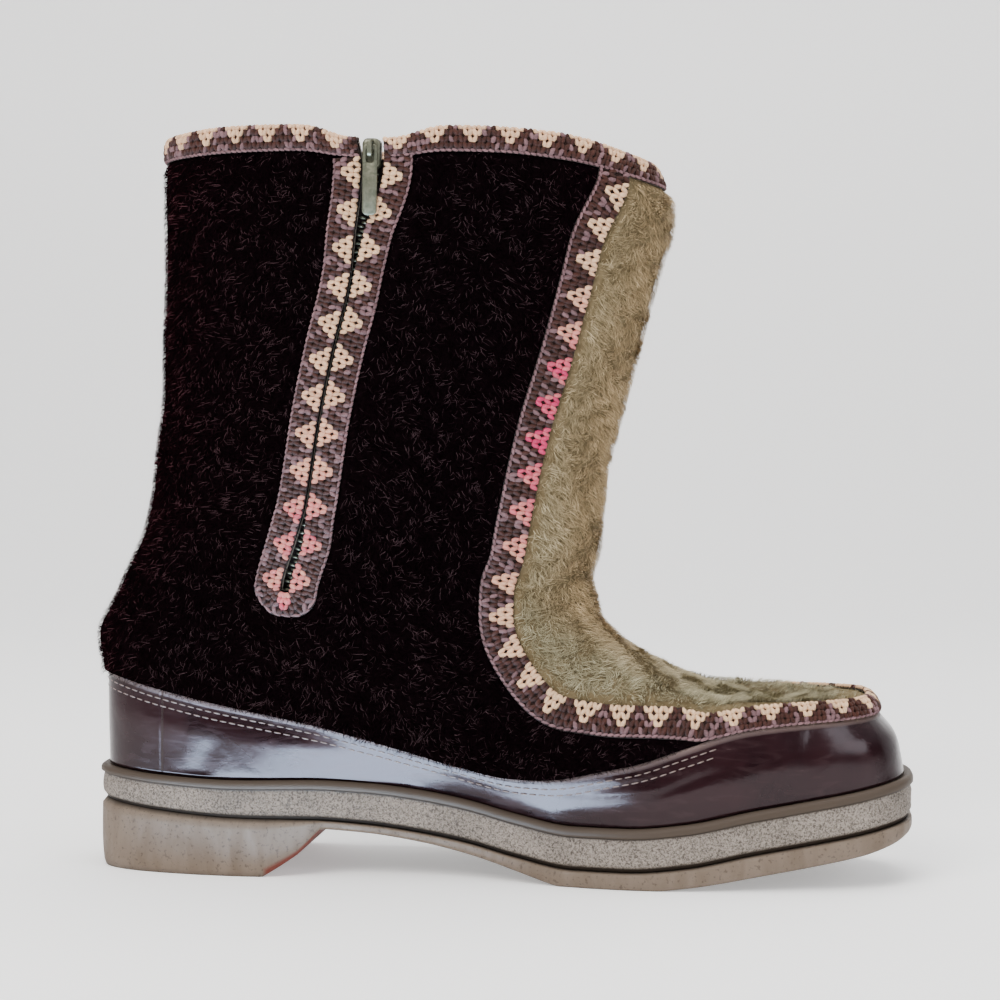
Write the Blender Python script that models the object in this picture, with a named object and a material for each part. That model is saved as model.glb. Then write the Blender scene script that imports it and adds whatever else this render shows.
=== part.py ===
"""Left winter boot with a plush shaft, leather foxing, braid trim, side zip and low-heeled rubber sole.

Frame: +X to the toe, +Z up, the medial (zip) side faces -Y. The origin is the bottom centre of the boot.
All lengths are in metres.
"""
import math

import bmesh
import bpy
import numpy as np
from mathutils import Matrix, Vector

MM = 0.001

# Main sizes
LENGTH = 279.0 * MM          # sole from heel to toe
BALL_WIDTH = 100.0 * MM      # sole across the ball
UPPER_HEIGHT = 230.0 * MM    # shaft top above the sole's top at the ball
SOLE_STACK = 19.8 * MM       # sole's top above the floor at the ball
HEEL_LIFT = 12.7 * MM        # how much higher the seat lies at the heel
TOE_SPRING = 16.8 * MM       # how much the sole's top rises to the toe
MIDSOLE_DEPTH = 14.0 * MM
OUTSOLE_DEPTH = 5.9 * MM     # under the ball
SOLE_LIP = 3.0 * MM          # how far the sole stands out past the upper
INSOLE_THICKNESS = 3.0 * MM

# Walls, measured from the skin surface that shell() gives
FOXING_THICKNESS = 1.8 * MM
LINING_THICKNESS = 2.4 * MM
SHAFT_WALL = 2.2 * MM
PILE = 2.8 * MM              # depth of the dark fur outside the skin
PANEL_PILE = 3.2 * MM        # depth of the olive fur outside the skin
PRESSED_PILE = 0.3 * MM      # what is left of the fur under a braid

# Trim
PANEL_BRAID_WIDTH = 11.6 * MM
COLLAR_BRAID_DROP = 8.0 * MM
ZIP_BRAID_WIDTH = 9.4 * MM
BRAID_THICKNESS = 1.5 * MM
PILE_SHOULDER = 2.4 * MM     # from a braid's edge to fur of full depth

# Zip
TEETH_WIDTH = 4.2 * MM
TEETH_THICKNESS = 1.6 * MM
TOOTH_PITCH = 7.0 * MM
TAPE_WIDTH = 17.0 * MM
TAPE_THICKNESS = 0.6 * MM
SLIDER_WIDTH = 6.0 * MM
SLIDER_HEIGHT = 10.0 * MM
SLIDER_FRONT = 1.4 * MM      # slider's face outside the skin
BAIL_WIDTH = 1.6 * MM
BAIL_BAR = 1.1 * MM
BAIL_REACH = 2.8 * MM        # room for the pull's crossbar between slider and bail
PULL_WIDTH = 4.8 * MM
PULL_LENGTH = 23.0 * MM
PULL_THICKNESS = 1.2 * MM
PULL_CROSSBAR = 1.4 * MM
PULL_WINDOW = (2.6 * MM, 4.6 * MM)

GAP = 0.3 * MM               # between pieces that touch
FEATHER_GAP = 0.5 * MM       # between the sole and the curved edges that stand on it
SEAM_GAP = 1.6 * MM          # between the dark and the olive fur, under the braid
INSOLE_GAP = 1.5 * MM
COLLAR_DIP = 4.5 * MM        # how far the collar drops at the zip
COLLAR_DIP_WIDTH = 17.0 * MM

# Sole lines. along: share of LENGTH; lift: share of HEEL_LIFT; spring: share of TOE_SPRING
LIFT_TABLE = (
    (0.00, 1.20), (0.09, 1.04), (0.18, 0.97), (0.28, 1.00), (0.35, 0.92),
    (0.41, 0.76), (0.47, 0.53), (0.53, 0.23), (0.60, 0.00), (1.00, 0.00),
)
SPRING_TABLE = (
    (0.00, 0.00), (0.66, 0.00), (0.73, 0.10), (0.81, 0.37), (0.865, 0.53),
    (0.935, 0.73), (1.00, 0.96),
)
# along: share of LENGTH; depth: share of MIDSOLE_DEPTH
BAND_TABLE = ((0.00, 0.79), (0.10, 0.84), (0.27, 0.93), (0.45, 1.00), (1.00, 1.00))
# along: share of LENGTH; depth: share of OUTSOLE_DEPTH
TREAD_TABLE = (
    (0.00, 0.50), (0.34, 0.50), (0.405, 0.54), (0.466, 0.64), (0.51, 0.72), (0.55, 0.90),
    (0.59, 1.07), (0.69, 1.10), (0.735, 1.12), (0.81, 1.25), (0.935, 1.20), (0.97, 1.07), (1.00, 0.75),
)
# along: share of LENGTH; open: 0 under the heel block, 1 past its slanted breast
BREAST_TABLE = ((0.2225, 0.0), (0.244, 0.22), (0.265, 0.46), (0.28, 0.73), (0.293, 1.0))
SOLE_STATIONS = (
    0.011, 0.014, 0.024, 0.045, 0.08, 0.125, 0.175, 0.2225, 0.244, 0.265, 0.28, 0.293, 0.34, 0.385,
    0.43, 0.475, 0.52, 0.56, 0.59, 0.625, 0.66, 0.69, 0.735, 0.78, 0.825, 0.865, 0.90, 0.93, 0.955,
    0.974, 0.985, 0.989,
)
# Sides of the sole. down: share of the layer's depth; inset: share of SOLE_LIP
MIDSOLE_SIDE = (
    (0.00, 0.40), (0.06, 0.10), (0.11, 0.00), (0.20, 0.00), (0.25, 0.36), (0.50, 0.22),
    (0.84, 0.30), (0.92, 0.55), (1.00, 0.75),
)
OUTSOLE_SIDE = ((0.00, 0.75), (0.10, 0.15), (0.55, 0.12), (0.93, 0.30), (1.00, 0.50))

# Centre line of the boot seen from above. along: share of LENGTH; aside: share of BALL_WIDTH, + is lateral
CENTRE_TABLE = ((0.0, 0.0), (0.4, 0.03), (0.66, 0.02), (0.85, -0.02), (1.0, -0.07))
SWING_FADE = (0.28, 0.50)    # levels between which the shaft loses the foot's curve

# Rings round the boot, from the sole to the collar. Each row is one ring.
# rise_0 to rise_5: height above the sole at the stations below, share of UPPER_HEIGHT; rise_0 is its level
# follow: how much of the sole's lift and spring the ring takes
# back, front: where the ring begins and ends, share of LENGTH
# heel, waist, ball: half widths, share of BALL_WIDTH; round: exponent of the ring's ends
STATIONS = np.array((0.0, 0.16, 0.50, 0.68, 0.82, 1.0))
WIDTH_STATIONS = np.array((0.0, 0.15, 0.42, 0.72, 1.0))
RINGS = np.array((
    (0.000, 0.000, 0.000, 0.000, 0.000, 0.000, 1.0, 0.011, 0.989, 0.400, 0.325, 0.500, 0.60),
    (0.072, 0.056, 0.024, 0.042, 0.056, 0.055, 1.0, 0.010, 0.980, 0.400, 0.345, 0.515, 0.60),
    (0.145, 0.112, 0.048, 0.086, 0.116, 0.098, 1.0, 0.009, 0.957, 0.385, 0.360, 0.505, 0.60),
    (0.163, 0.134, 0.069, 0.112, 0.141, 0.120, 1.0, 0.007, 0.946, 0.385, 0.365, 0.490, 0.60),
    (0.179, 0.147, 0.084, 0.127, 0.152, 0.122, 1.0, 0.004, 0.903, 0.380, 0.370, 0.470, 0.62),
    (0.192, 0.160, 0.097, 0.139, 0.173, 0.122, 1.0, 0.003, 0.846, 0.380, 0.380, 0.440, 0.66),
    (0.211, 0.182, 0.122, 0.151, 0.194, 0.145, 0.9, 0.004, 0.795, 0.380, 0.390, 0.420, 0.70),
    (0.242, 0.214, 0.159, 0.185, 0.227, 0.182, 0.7, 0.011, 0.732, 0.380, 0.400, 0.390, 0.72),
    (0.277, 0.256, 0.219, 0.237, 0.259, 0.211, 0.5, 0.021, 0.686, 0.375, 0.400, 0.360, 0.76),
    (0.321, 0.306, 0.285, 0.296, 0.301, 0.241, 0.3, 0.033, 0.646, 0.370, 0.400, 0.340, 0.80),
    (0.373, 0.365, 0.353, 0.355, 0.357, 0.288, 0.1, 0.047, 0.612, 0.365, 0.395, 0.325, 0.84),
    (0.431, 0.425, 0.416, 0.414, 0.410, 0.336, 0.0, 0.064, 0.606, 0.360, 0.390, 0.330, 0.87),
    (0.492, 0.483, 0.473, 0.470, 0.468, 0.405, 0.0, 0.072, 0.611, 0.360, 0.390, 0.340, 0.90),
    (0.583, 0.577, 0.568, 0.566, 0.562, 0.518, 0.0, 0.080, 0.624, 0.365, 0.395, 0.360, 0.92),
    (0.705, 0.701, 0.692, 0.690, 0.683, 0.653, 0.0, 0.085, 0.652, 0.375, 0.405, 0.370, 0.94),
    (0.844, 0.842, 0.836, 0.833, 0.827, 0.801, 0.0, 0.087, 0.686, 0.390, 0.415, 0.385, 0.96),
    (0.936, 0.936, 0.931, 0.929, 0.918, 0.888, 0.0, 0.086, 0.702, 0.400, 0.425, 0.400, 0.96),
    (1.000, 1.007, 1.000, 0.999, 0.992, 0.957, 0.0, 0.086, 0.683, 0.405, 0.430, 0.405, 0.96),
))
RING_COLUMNS = {
    "rise": slice(0, 6), "follow": 6, "back": 7, "front": 8, "widths": (9, 9, 10, 11, 11), "round": 12,
}
LEVELS = RINGS[:, 0]

# Lines on the boot's side. along: share of LENGTH; rise: share of UPPER_HEIGHT above SOLE_STACK
SEAM_LINE = (
    (0.796, 0.142), (0.763, 0.145), (0.699, 0.149), (0.634, 0.149), (0.573, 0.162), (0.536, 0.205),
    (0.509, 0.257), (0.502, 0.310), (0.514, 0.377), (0.528, 0.468), (0.546, 0.564), (0.565, 0.640),
    (0.584, 0.718), (0.609, 0.836), (0.642, 0.940), (0.652, 0.975),
)
ZIP_LINE = (
    (0.247, 0.296), (0.253, 0.330), (0.272, 0.412), (0.283, 0.475), (0.294, 0.559), (0.314, 0.675),
    (0.333, 0.762), (0.346, 0.849), (0.357, 0.900), (0.361, 0.975),
)
# Half the gap between the zip's two edges. level; half: share of ZIP_BRAID_WIDTH
ZIP_OPENING = (
    (0.30, 0.19), (0.42, 0.16), (0.46, 0.07), (0.80, 0.07), (0.87, 0.20), (0.92, 0.36), (1.00, 0.46),
)

FOXING_LEVEL = 0.145
TOE_BRAID_LEVEL = 0.167
PILE_LEVEL = 0.177
INNER_STEP_LEVEL = 0.277
LOOP_BOTTOM = (0.247, 0.296)
SLIT_BOTTOM = (0.254, 0.333)
LOOP_ROUND = ((0.0, 0.45), (0.5, 0.86), (1.0, 1.0))

LOWER_LEVELS = (0.0, 0.072, FOXING_LEVEL)
FOOT_LEVELS = (TOE_BRAID_LEVEL, PILE_LEVEL, 0.192, 0.211, 0.242, 0.277)
SHAFT_LEVELS = (0.373, 0.431, 0.492, 0.54, 0.583, 0.644, 0.705, 0.775, 0.844, 0.90)
HEEL_CELLS = 5
SIDE_CELLS = 7
FRONT_CELLS = 5
PLAIN_SIDE_CELLS = 14

COLOURS = {
    "fur": ((0.012, 0.006, 0.008), 0.95, 0.0),
    "olive_fur": ((0.20, 0.165, 0.085), 0.95, 0.0),
    "leather": ((0.030, 0.014, 0.018), 0.25, 0.0),
    "braid": ((0.50, 0.30, 0.22), 0.85, 0.0),
    "sole": ((0.16, 0.125, 0.10), 0.75, 0.0),
    "footbed": ((0.30, 0.24, 0.17), 0.90, 0.0),
    "tape": ((0.02, 0.012, 0.012), 0.90, 0.0),
    "zip_metal": ((0.20, 0.20, 0.15), 0.40, 1.0),
}


# Curves through tables

def cubic(x, places, values):
    """Monotone cubic through values at places; values may hold one row for each x."""
    x = np.clip(x, places[0], places[-1])
    steps = np.diff(places)
    rates = np.diff(values, axis=-1) / steps
    before, after = rates[..., :-1], rates[..., 1:]
    same_way = before * after > 0
    weight_a = 2 * steps[1:] + steps[:-1]
    weight_b = steps[1:] + 2 * steps[:-1]
    safe_before = np.where(same_way, before, 1.0)
    safe_after = np.where(same_way, after, 1.0)
    middle = (weight_a + weight_b) / (weight_a / safe_before + weight_b / safe_after)
    middle = np.where(same_way, middle, 0.0)
    slopes = np.concatenate([rates[..., :1], middle, rates[..., -1:]], axis=-1)
    k = np.clip(np.searchsorted(places, x, side="right") - 1, 0, len(places) - 2)
    h = places[k + 1] - places[k]
    u = (x - places[k]) / h
    pick = (k,) if values.ndim == 1 else (np.arange(len(x)), k)
    pick_next = (k + 1,) if values.ndim == 1 else (np.arange(len(x)), k + 1)
    start, end = values[pick], values[pick_next]
    start_slope, end_slope = slopes[pick], slopes[pick_next]
    return (
        start * (1 + 2 * u) * (1 - u) ** 2 + h * start_slope * u * (1 - u) ** 2
        + end * u * u * (3 - 2 * u) + h * end_slope * u * u * (u - 1)
    )


def table_curve(table, x):
    """Monotone cubic through a two-column table."""
    columns = np.array(table)
    return cubic(np.asarray(x, dtype=float), columns[:, 0], columns[:, 1])


def sole_top(x):
    """Height of the sole's upper edge at a place along the boot."""
    along = np.asarray(x) / LENGTH
    return SOLE_STACK + HEEL_LIFT * table_curve(LIFT_TABLE, along) + TOE_SPRING * table_curve(SPRING_TABLE, along)


def groove_height(x):
    """Height of the groove between midsole and outsole."""
    return sole_top(x) - MIDSOLE_DEPTH * table_curve(BAND_TABLE, np.asarray(x) / LENGTH)


def sole_bottom(x):
    """Height of the tread: flat under the heel block and the ball, raised at the waist and the toe."""
    along = np.asarray(x) / LENGTH
    tread = groove_height(x) - OUTSOLE_DEPTH * table_curve(TREAD_TABLE, along)
    opened = np.interp(along, *np.array(BREAST_TABLE).T)
    return np.maximum(tread, 0.0) * opened


# The boot's skin

def ring_values(level):
    """The ring table's columns at each level, by name."""
    ring = np.stack([cubic(level, LEVELS, RINGS[:, column]) for column in range(RINGS.shape[1])], axis=1)
    return {name: ring[:, columns] for name, columns in RING_COLUMNS.items()}


def collar_dip(x, y, level):
    """How far the collar drops beside the zip's top."""
    zip_top = ZIP_LINE[-1][0] * LENGTH
    near_zip = np.exp(-((x - zip_top) / COLLAR_DIP_WIDTH) ** 4)
    near_top = np.clip((level - 0.90) / 0.10, 0.0, 1.0) ** 2
    return COLLAR_DIP * near_zip * near_top * (y < 0)


def shell(turn, level):
    """Points of the skin. turn is 0 at the toe and pi at the heel, positive on the lateral side."""
    turn, level = (part.ravel() for part in np.broadcast_arrays(turn, level))
    ring = ring_values(level)
    share = (1 + np.cos(turn)) / 2
    x = LENGTH * (ring["back"] + (ring["front"] - ring["back"]) * share)
    rise = cubic(share, STATIONS, ring["rise"])
    z = SOLE_STACK + UPPER_HEIGHT * rise + ring["follow"] * (sole_top(x) - SOLE_STACK)
    half = BALL_WIDTH * cubic(share, WIDTH_STATIONS, ring["widths"])
    fade = 1 - np.clip((level - SWING_FADE[0]) / (SWING_FADE[1] - SWING_FADE[0]), 0.0, 1.0)
    centre = BALL_WIDTH * table_curve(CENTRE_TABLE, x / LENGTH) * fade
    sine = np.sin(turn)
    y = centre + half * np.sign(sine) * np.abs(sine) ** ring["round"]
    z = z - collar_dip(x, y, level)
    return np.stack([x, y, z], axis=1)


def unit(vectors):
    """Vectors of length one."""
    return vectors / np.linalg.norm(vectors, axis=-1, keepdims=True)


def skin_slopes(turn, level):
    """How the skin's point moves with turn and with level."""
    d_turn, d_level = 0.03, 0.006
    level = np.clip(level, 0.0, 1.0)
    low, high = np.clip(level - d_level, 0.0, 1.0), np.clip(level + d_level, 0.0, 1.0)
    by_turn = (shell(turn + d_turn, level) - shell(turn - d_turn, level)) / (2 * d_turn)
    by_level = (shell(turn, high) - shell(turn, low)) / (high - low)[:, None]
    return by_turn, by_level


def skin_normal(turn, level):
    """Outward direction of the skin."""
    by_turn, by_level = skin_slopes(turn, level)
    return unit(np.cross(by_turn, by_level))


def skin(turn, level, offset):
    """Points at an offset outside the skin."""
    turn, level, offset = (np.asarray(part, dtype=float) for part in (turn, level, offset))
    shape = np.broadcast_shapes(turn.shape, level.shape, offset.shape)
    turn, level, offset = (np.broadcast_to(part, shape).ravel() for part in (turn, level, offset))
    points = shell(turn, level) + skin_normal(turn, level) * offset[:, None]
    return points.reshape(shape + (3,))


def turn_at(x, level, side):
    """The turn of the point at x on a ring. side is -1 for medial and 1 for lateral."""
    ring = ring_values(np.atleast_1d(level))
    share = (np.atleast_1d(x) / LENGTH - ring["back"]) / (ring["front"] - ring["back"])
    return side * np.arccos(np.clip(2 * share - 1, -1.0, 1.0))


def level_at(along, rise, side):
    """The level of the skin's point that the side view shows at a place."""
    x, z = along * LENGTH, SOLE_STACK + rise * UPPER_HEIGHT
    low, high = 0.0, 1.0
    for _ in range(30):
        middle = (low + high) / 2
        if shell(turn_at(x, middle, side), middle)[0, 2] > z:
            high = middle
        else:
            low = middle
    return (low + high) / 2


def walk(turn, level, direction, distance):
    """Move along the skin by a distance towards a direction, in small steps."""
    steps = 6
    for _ in range(steps):
        by_turn, by_level = skin_slopes(turn, level)
        a = np.sum(by_turn * by_turn, axis=1)
        b = np.sum(by_turn * by_level, axis=1)
        c = np.sum(by_level * by_level, axis=1)
        p = np.sum(by_turn * direction, axis=1)
        q = np.sum(by_level * direction, axis=1)
        scale = distance / steps / (a * c - b * b)
        turn = turn + (c * p - b * q) * scale
        level = level + (a * q - b * p) * scale
    return turn, level


class SideLine:
    """A line on one side of the boot, and lines that run beside it."""

    def __init__(self, table, side):
        levels = [level_at(along, rise, side) for along, rise in table]
        turns = [turn_at(along * LENGTH, level, side)[0] for (along, _), level in zip(table, levels)]
        order = np.argsort(levels)
        self.levels, self.turns = np.array(levels)[order], np.array(turns)[order]
        self.side = side

    def turn(self, level):
        """The line's turn at each level."""
        return cubic(np.atleast_1d(np.asarray(level, dtype=float)), self.levels, self.turns)

    def beside(self, level, distance):
        """Turns, at each level, of the line that runs a distance in front of this one."""
        samples = np.linspace(self.levels[0], 1.0, 90)
        turns = self.turn(samples)
        spread = distance(samples) if callable(distance) else distance
        points = shell(turns, samples)
        tangent = unit(np.gradient(points, axis=0))
        forward = unit(np.cross(tangent, skin_normal(turns, samples))) * -self.side
        moved_turns, moved_levels = walk(turns, samples, forward, spread)
        order = np.argsort(moved_levels)
        return np.interp(level, moved_levels[order], moved_turns[order])


# The grid that all the pieces of the upper share

def even_turns(start, end, cells, level):
    """Turns between start and end, evenly spaced along the ring."""
    fine = np.linspace(start, end, 60)
    points = shell(fine, np.full(fine.shape, level))
    run = np.concatenate([[0.0], np.cumsum(np.linalg.norm(np.diff(points, axis=0), axis=1))])
    return np.interp(np.linspace(0, run[-1], cells + 1), run, fine)


def zip_half_opening(level):
    """Half the gap between the zip's edges."""
    return ZIP_BRAID_WIDTH * np.interp(level, *np.array(ZIP_OPENING).T)


class Grid:
    """Rows of constant level and columns that follow the front seam and the zip."""

    def __init__(self):
        self.medial_seam = SideLine(SEAM_LINE, -1)
        self.lateral_seam = SideLine(SEAM_LINE, 1)
        self.zip = SideLine(ZIP_LINE, -1)
        self.loop_level = level_at(*LOOP_BOTTOM, -1)
        self.slit_level = level_at(*SLIT_BOTTOM, -1)
        self.set_rows()
        self.set_columns()

    def set_rows(self):
        """Name the rows and list their levels."""
        loop_middle = (self.loop_level + self.slit_level) / 2
        below_loop = self.loop_level - PILE_SHOULDER / UPPER_HEIGHT
        above_collar = 1 - COLLAR_BRAID_DROP / UPPER_HEIGHT
        wall_top = 1 - (BRAID_THICKNESS + GAP) / UPPER_HEIGHT
        shoulder = above_collar - PILE_SHOULDER / UPPER_HEIGHT
        ledge = FOXING_LEVEL + 2 * GAP / UPPER_HEIGHT
        self.levels = np.array(
            LOWER_LEVELS + (ledge,) + FOOT_LEVELS + (below_loop, self.loop_level, loop_middle, self.slit_level)
            + SHAFT_LEVELS + (shoulder, above_collar, wall_top)
        )
        rows = [int(np.argmin(np.abs(self.levels - level))) for level in (
            FOXING_LEVEL, ledge, TOE_BRAID_LEVEL, below_loop, self.loop_level, self.slit_level, above_collar)]
        self.foxing, self.ledge, self.toe_braid, self.below_loop, self.loop, self.slit, self.collar = rows
        self.top = len(self.levels) - 1

    def seam_knots(self, seam):
        """Columns beside one front seam, from the dark fur to the olive fur, then the two sides of its gap."""
        half = PANEL_BRAID_WIDTH / 2
        offsets = (-half - PILE_SHOULDER, -half, 0.0, half, half + PILE_SHOULDER, -SEAM_GAP / 2, SEAM_GAP / 2)
        knots = np.array([seam.beside(self.levels, offset) for offset in offsets])
        edge = knots[1]
        source = self.toe_braid
        x_shift = self.ring_x(edge[self.foxing], self.foxing) - self.ring_x(edge[source], source)
        for row in range(source):
            xs = [self.ring_x(turn, source) + x_shift for turn in knots[:, source]]
            knots[:, row] = [turn_at(x, self.levels[row], seam.side)[0] for x in xs]
        return knots[:5], knots[5], knots[6]

    def ring_x(self, turn, row):
        """Where a turn of a row lies along the boot."""
        return shell(np.array([turn]), self.levels[row:row + 1])[0, 0]

    def zip_knots(self):
        """Columns beside the zip, from its back to its front."""
        def outer(level):
            up = (level - self.loop_level) / (self.slit_level - self.loop_level)
            return ZIP_BRAID_WIDTH * np.interp(up, *np.array(LOOP_ROUND).T) + zip_half_opening(level)

        distances = (
            lambda level: -outer(level) - PILE_SHOULDER, lambda level: -outer(level),
            lambda level: -zip_half_opening(level), zip_half_opening, outer,
            lambda level: outer(level) + PILE_SHOULDER,
        )
        knots = np.array([self.zip.beside(self.levels, distance) for distance in distances])
        for row in range(self.below_loop + 1):
            xs = [self.ring_x(turn, self.loop) for turn in knots[:, self.loop]]
            knots[:, row] = [turn_at(x, self.levels[row], -1)[0] for x in xs]
        return knots

    def set_columns(self):
        """Turns of every column, from the toe round the lateral side, the heel and the medial side."""
        lateral, *self.lateral_gap = self.seam_knots(self.lateral_seam)
        medial, *self.medial_gap = self.seam_knots(self.medial_seam)
        lateral = lateral[::-1]
        zip_columns = self.zip_knots()
        rows = []
        for row, level in enumerate(self.levels):
            line = list(even_turns(0.0, lateral[0, row], FRONT_CELLS, level)[:-1])
            line += list(lateral[:-1, row])
            line += list(even_turns(lateral[-1, row], math.pi, PLAIN_SIDE_CELLS, level)[:-1])
            line += list(even_turns(-math.pi, zip_columns[0, row], HEEL_CELLS, level)[:-1])
            line += list(zip_columns[:-1, row])
            line += list(even_turns(zip_columns[-1, row], medial[0, row], SIDE_CELLS, level)[:-1])
            line += list(medial[:-1, row])
            line += list(even_turns(medial[-1, row], 0.0, FRONT_CELLS, level)[:-1])
            rows.append(line)
        self.turns = np.array(rows)
        self.columns = self.turns.shape[1]
        self.lateral_first = FRONT_CELLS
        self.zip_first = FRONT_CELLS + 4 + PLAIN_SIDE_CELLS + HEEL_CELLS
        self.medial_first = self.zip_first + 5 + SIDE_CELLS
        self.base = skin(self.turns, self.levels[:, None], 0.0)

    def lateral_seam_columns(self):
        """Olive shoulder, olive edge, centre, dark edge and dark shoulder columns."""
        return [self.lateral_first + step for step in range(5)]

    def medial_seam_columns(self):
        """The same five columns on the medial side, dark to olive."""
        return [self.medial_first + step for step in range(5)]

    def zip_columns(self):
        """Back shoulder, back edge, slit's back, slit's front, front edge and front shoulder columns."""
        return [self.zip_first + step for step in range(6)]


DARK, OLIVE = 0, 1


def shifted(grid, rows=None, seam_side=None):
    """Turns and levels of the grid with chosen rows moved, and the seam's centre on one side of its gap."""
    levels = np.repeat(grid.levels[:, None], grid.columns, axis=1)
    turns = grid.turns.copy()
    for row, distance in (rows or {}).items():
        levels[row] += distance / UPPER_HEIGHT
    if seam_side is not None:
        turns[:, grid.lateral_seam_columns()[2]] = grid.lateral_gap[seam_side]
        turns[:, grid.medial_seam_columns()[2]] = grid.medial_gap[seam_side]
    return turns, levels


# Meshes

def new_object(name, vertices, faces, material):
    """An object from vertices and faces, with smooth shading between gentle angles."""
    mesh = bpy.data.meshes.new(name)
    mesh.from_pydata([tuple(map(float, vertex)) for vertex in vertices], [], [list(map(int, f)) for f in faces])
    mesh.validate()
    mesh.update()
    made = bpy.data.objects.new(name, mesh)
    made.data.materials.append(material)
    mesh.shade_smooth()
    mesh.set_sharp_from_angle(angle=math.radians(35))
    COLLECTION.objects.link(made)
    return made


def cell_corners(grid, row, column):
    """The four corners of a cell, going round it as seen from outside."""
    after = (column + 1) % grid.columns
    return [(row, column), (row, after), (row + 1, after), (row + 1, column)]


def cell_triangles(grid, row, column):
    """A cell's two triangles, cut along the shorter diagonal of the skin."""
    a, b, c, d = cell_corners(grid, row, column)
    first = np.linalg.norm(grid.base[a] - grid.base[c])
    second = np.linalg.norm(grid.base[b] - grid.base[d])
    if first <= second:
        return [(a, b, c), (a, c, d)]
    return [(a, b, d), (b, c, d)]


def solid_from_cells(name, grid, cells, outer, inner, material):
    """A closed solid over a set of grid cells, between an outer and an inner array of points."""
    cells = set(cells)
    corners = sorted({corner for cell in cells for corner in cell_corners(grid, *cell)})
    index = {corner: number for number, corner in enumerate(corners)}
    count = len(corners)
    vertices = [outer[corner] for corner in corners] + [inner[corner] for corner in corners]
    faces, edges = [], {}
    for cell in cells:
        for triangle in cell_triangles(grid, *cell):
            numbers = [index[corner] for corner in triangle]
            faces.append(numbers)
            faces.append([number + count for number in reversed(numbers)])
        ring = cell_corners(grid, *cell)
        for start, end in zip(ring, ring[1:] + ring[:1]):
            edges[(start, end)] = edges.get((start, end), 0) + 1
    for start, end in edges:
        if (end, start) not in edges:
            i, j = index[start], index[end]
            faces.append([i + count, j + count, j])
            faces.append([i + count, j, i])
    return new_object(name, vertices, faces, material)


def sweep(name, sections, material, closed=False):
    """A solid through a row of sections of equal length, capped at both ends unless it closes."""
    sections = np.asarray(sections)
    stations, points = sections.shape[:2]
    faces = []
    for station in range(stations if closed else stations - 1):
        after = (station + 1) % stations
        for point in range(points):
            beside = (point + 1) % points
            a, b = station * points + point, station * points + beside
            c, d = after * points + beside, after * points + point
            faces += [[a, b, c], [a, c, d]]
    if not closed:
        faces.append(list(range(points))[::-1])
        faces.append([(stations - 1) * points + point for point in range(points)])
    made = new_object(name, sections.reshape(-1, 3), faces, material)
    face_out(made)
    return made


def face_out(made):
    """Turn every face of a closed object outward."""
    shape = bmesh.new()
    shape.from_mesh(made.data)
    bmesh.ops.recalc_face_normals(shape, faces=shape.faces)
    if shape.calc_volume(signed=True) < 0:
        bmesh.ops.reverse_faces(shape, faces=shape.faces)
    shape.to_mesh(made.data)
    shape.free()


# Sole

def outline(outset):
    """The feather line moved outward, as lateral points and medial points from heel to toe."""
    xs = np.array(SOLE_STATIONS) * LENGTH
    sides = []
    for side in (1, -1):
        turns = turn_at(xs, np.zeros(len(xs)), side)
        level = np.zeros(len(xs))
        points = shell(turns, level)
        around = shell(turns + 0.02, level) - shell(turns - 0.02, level)
        out = unit(np.stack([around[:, 1], -around[:, 0]], axis=1))
        sides.append(points[:, :2] + out * np.reshape(outset, (-1, 1)))
    return sides


def closed_outline(outset):
    """The outline as one loop, heel to toe on the lateral side and back on the medial side."""
    lateral, medial = outline(outset)
    return np.concatenate([lateral, medial[1:-1][::-1]])


def layer(name, side, top, bottom, material):
    """A sole layer: its side profile swept round the outline, with a top and a bottom."""
    loops = []
    for down, inset in side:
        loop = closed_outline(SOLE_LIP * (1 - inset))
        high, low = top(loop[:, 0]), bottom(loop[:, 0])
        loops.append(np.column_stack([loop, high + (low - high) * down]))
    return stacked_loops(name, loops, material)


def stacked_loops(name, loops, material):
    """A solid from loops stacked from top to bottom, closed by strips across its ends."""
    count = len(loops[0])
    faces = []
    for number in range(len(loops) - 1):
        for point in range(count):
            after = (point + 1) % count
            a, b = number * count + point, number * count + after
            c, d = (number + 1) * count + after, (number + 1) * count + point
            faces += [[a, b, c], [a, c, d]]
    stations = len(SOLE_STATIONS)
    for start, turn_round in ((0, False), ((len(loops) - 1) * count, True)):
        for station in range(stations - 1):
            lateral, lateral_next = start + station, start + station + 1
            medial = start + (count - station) % count
            medial_next = start + count - station - 1
            if station + 1 == stations - 1:
                strip = [[lateral, lateral_next, medial]]
            elif station == 0:
                strip = [[lateral, lateral_next, medial_next]]
            else:
                strip = [[lateral, lateral_next, medial_next], [lateral, medial_next, medial]]
            faces += [face[::-1] for face in strip] if turn_round else strip
    made = new_object(name, np.concatenate(loops), faces, material)
    face_out(made)
    return made


def build_sole(materials):
    """Midsole with its lip and band, outsole with heel block, and footbed."""
    layer("midsole", MIDSOLE_SIDE, sole_top, groove_height, materials["sole"])
    layer("outsole", OUTSOLE_SIDE, lambda x: groove_height(x) - GAP, sole_bottom, materials["sole"])
    inset = -(FOXING_THICKNESS + GAP + LINING_THICKNESS + INSOLE_GAP)
    edge, rounded = closed_outline(inset), closed_outline(inset - INSOLE_THICKNESS / 3)
    low = sole_top(edge[:, 0]) + GAP
    loops = (
        np.column_stack([rounded, sole_top(rounded[:, 0]) + GAP + INSOLE_THICKNESS]),
        np.column_stack([edge, low + INSOLE_THICKNESS * 2 / 3]),
        np.column_stack([edge, low]),
    )
    stacked_loops("insole", loops, materials["footbed"])


# Upper

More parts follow.
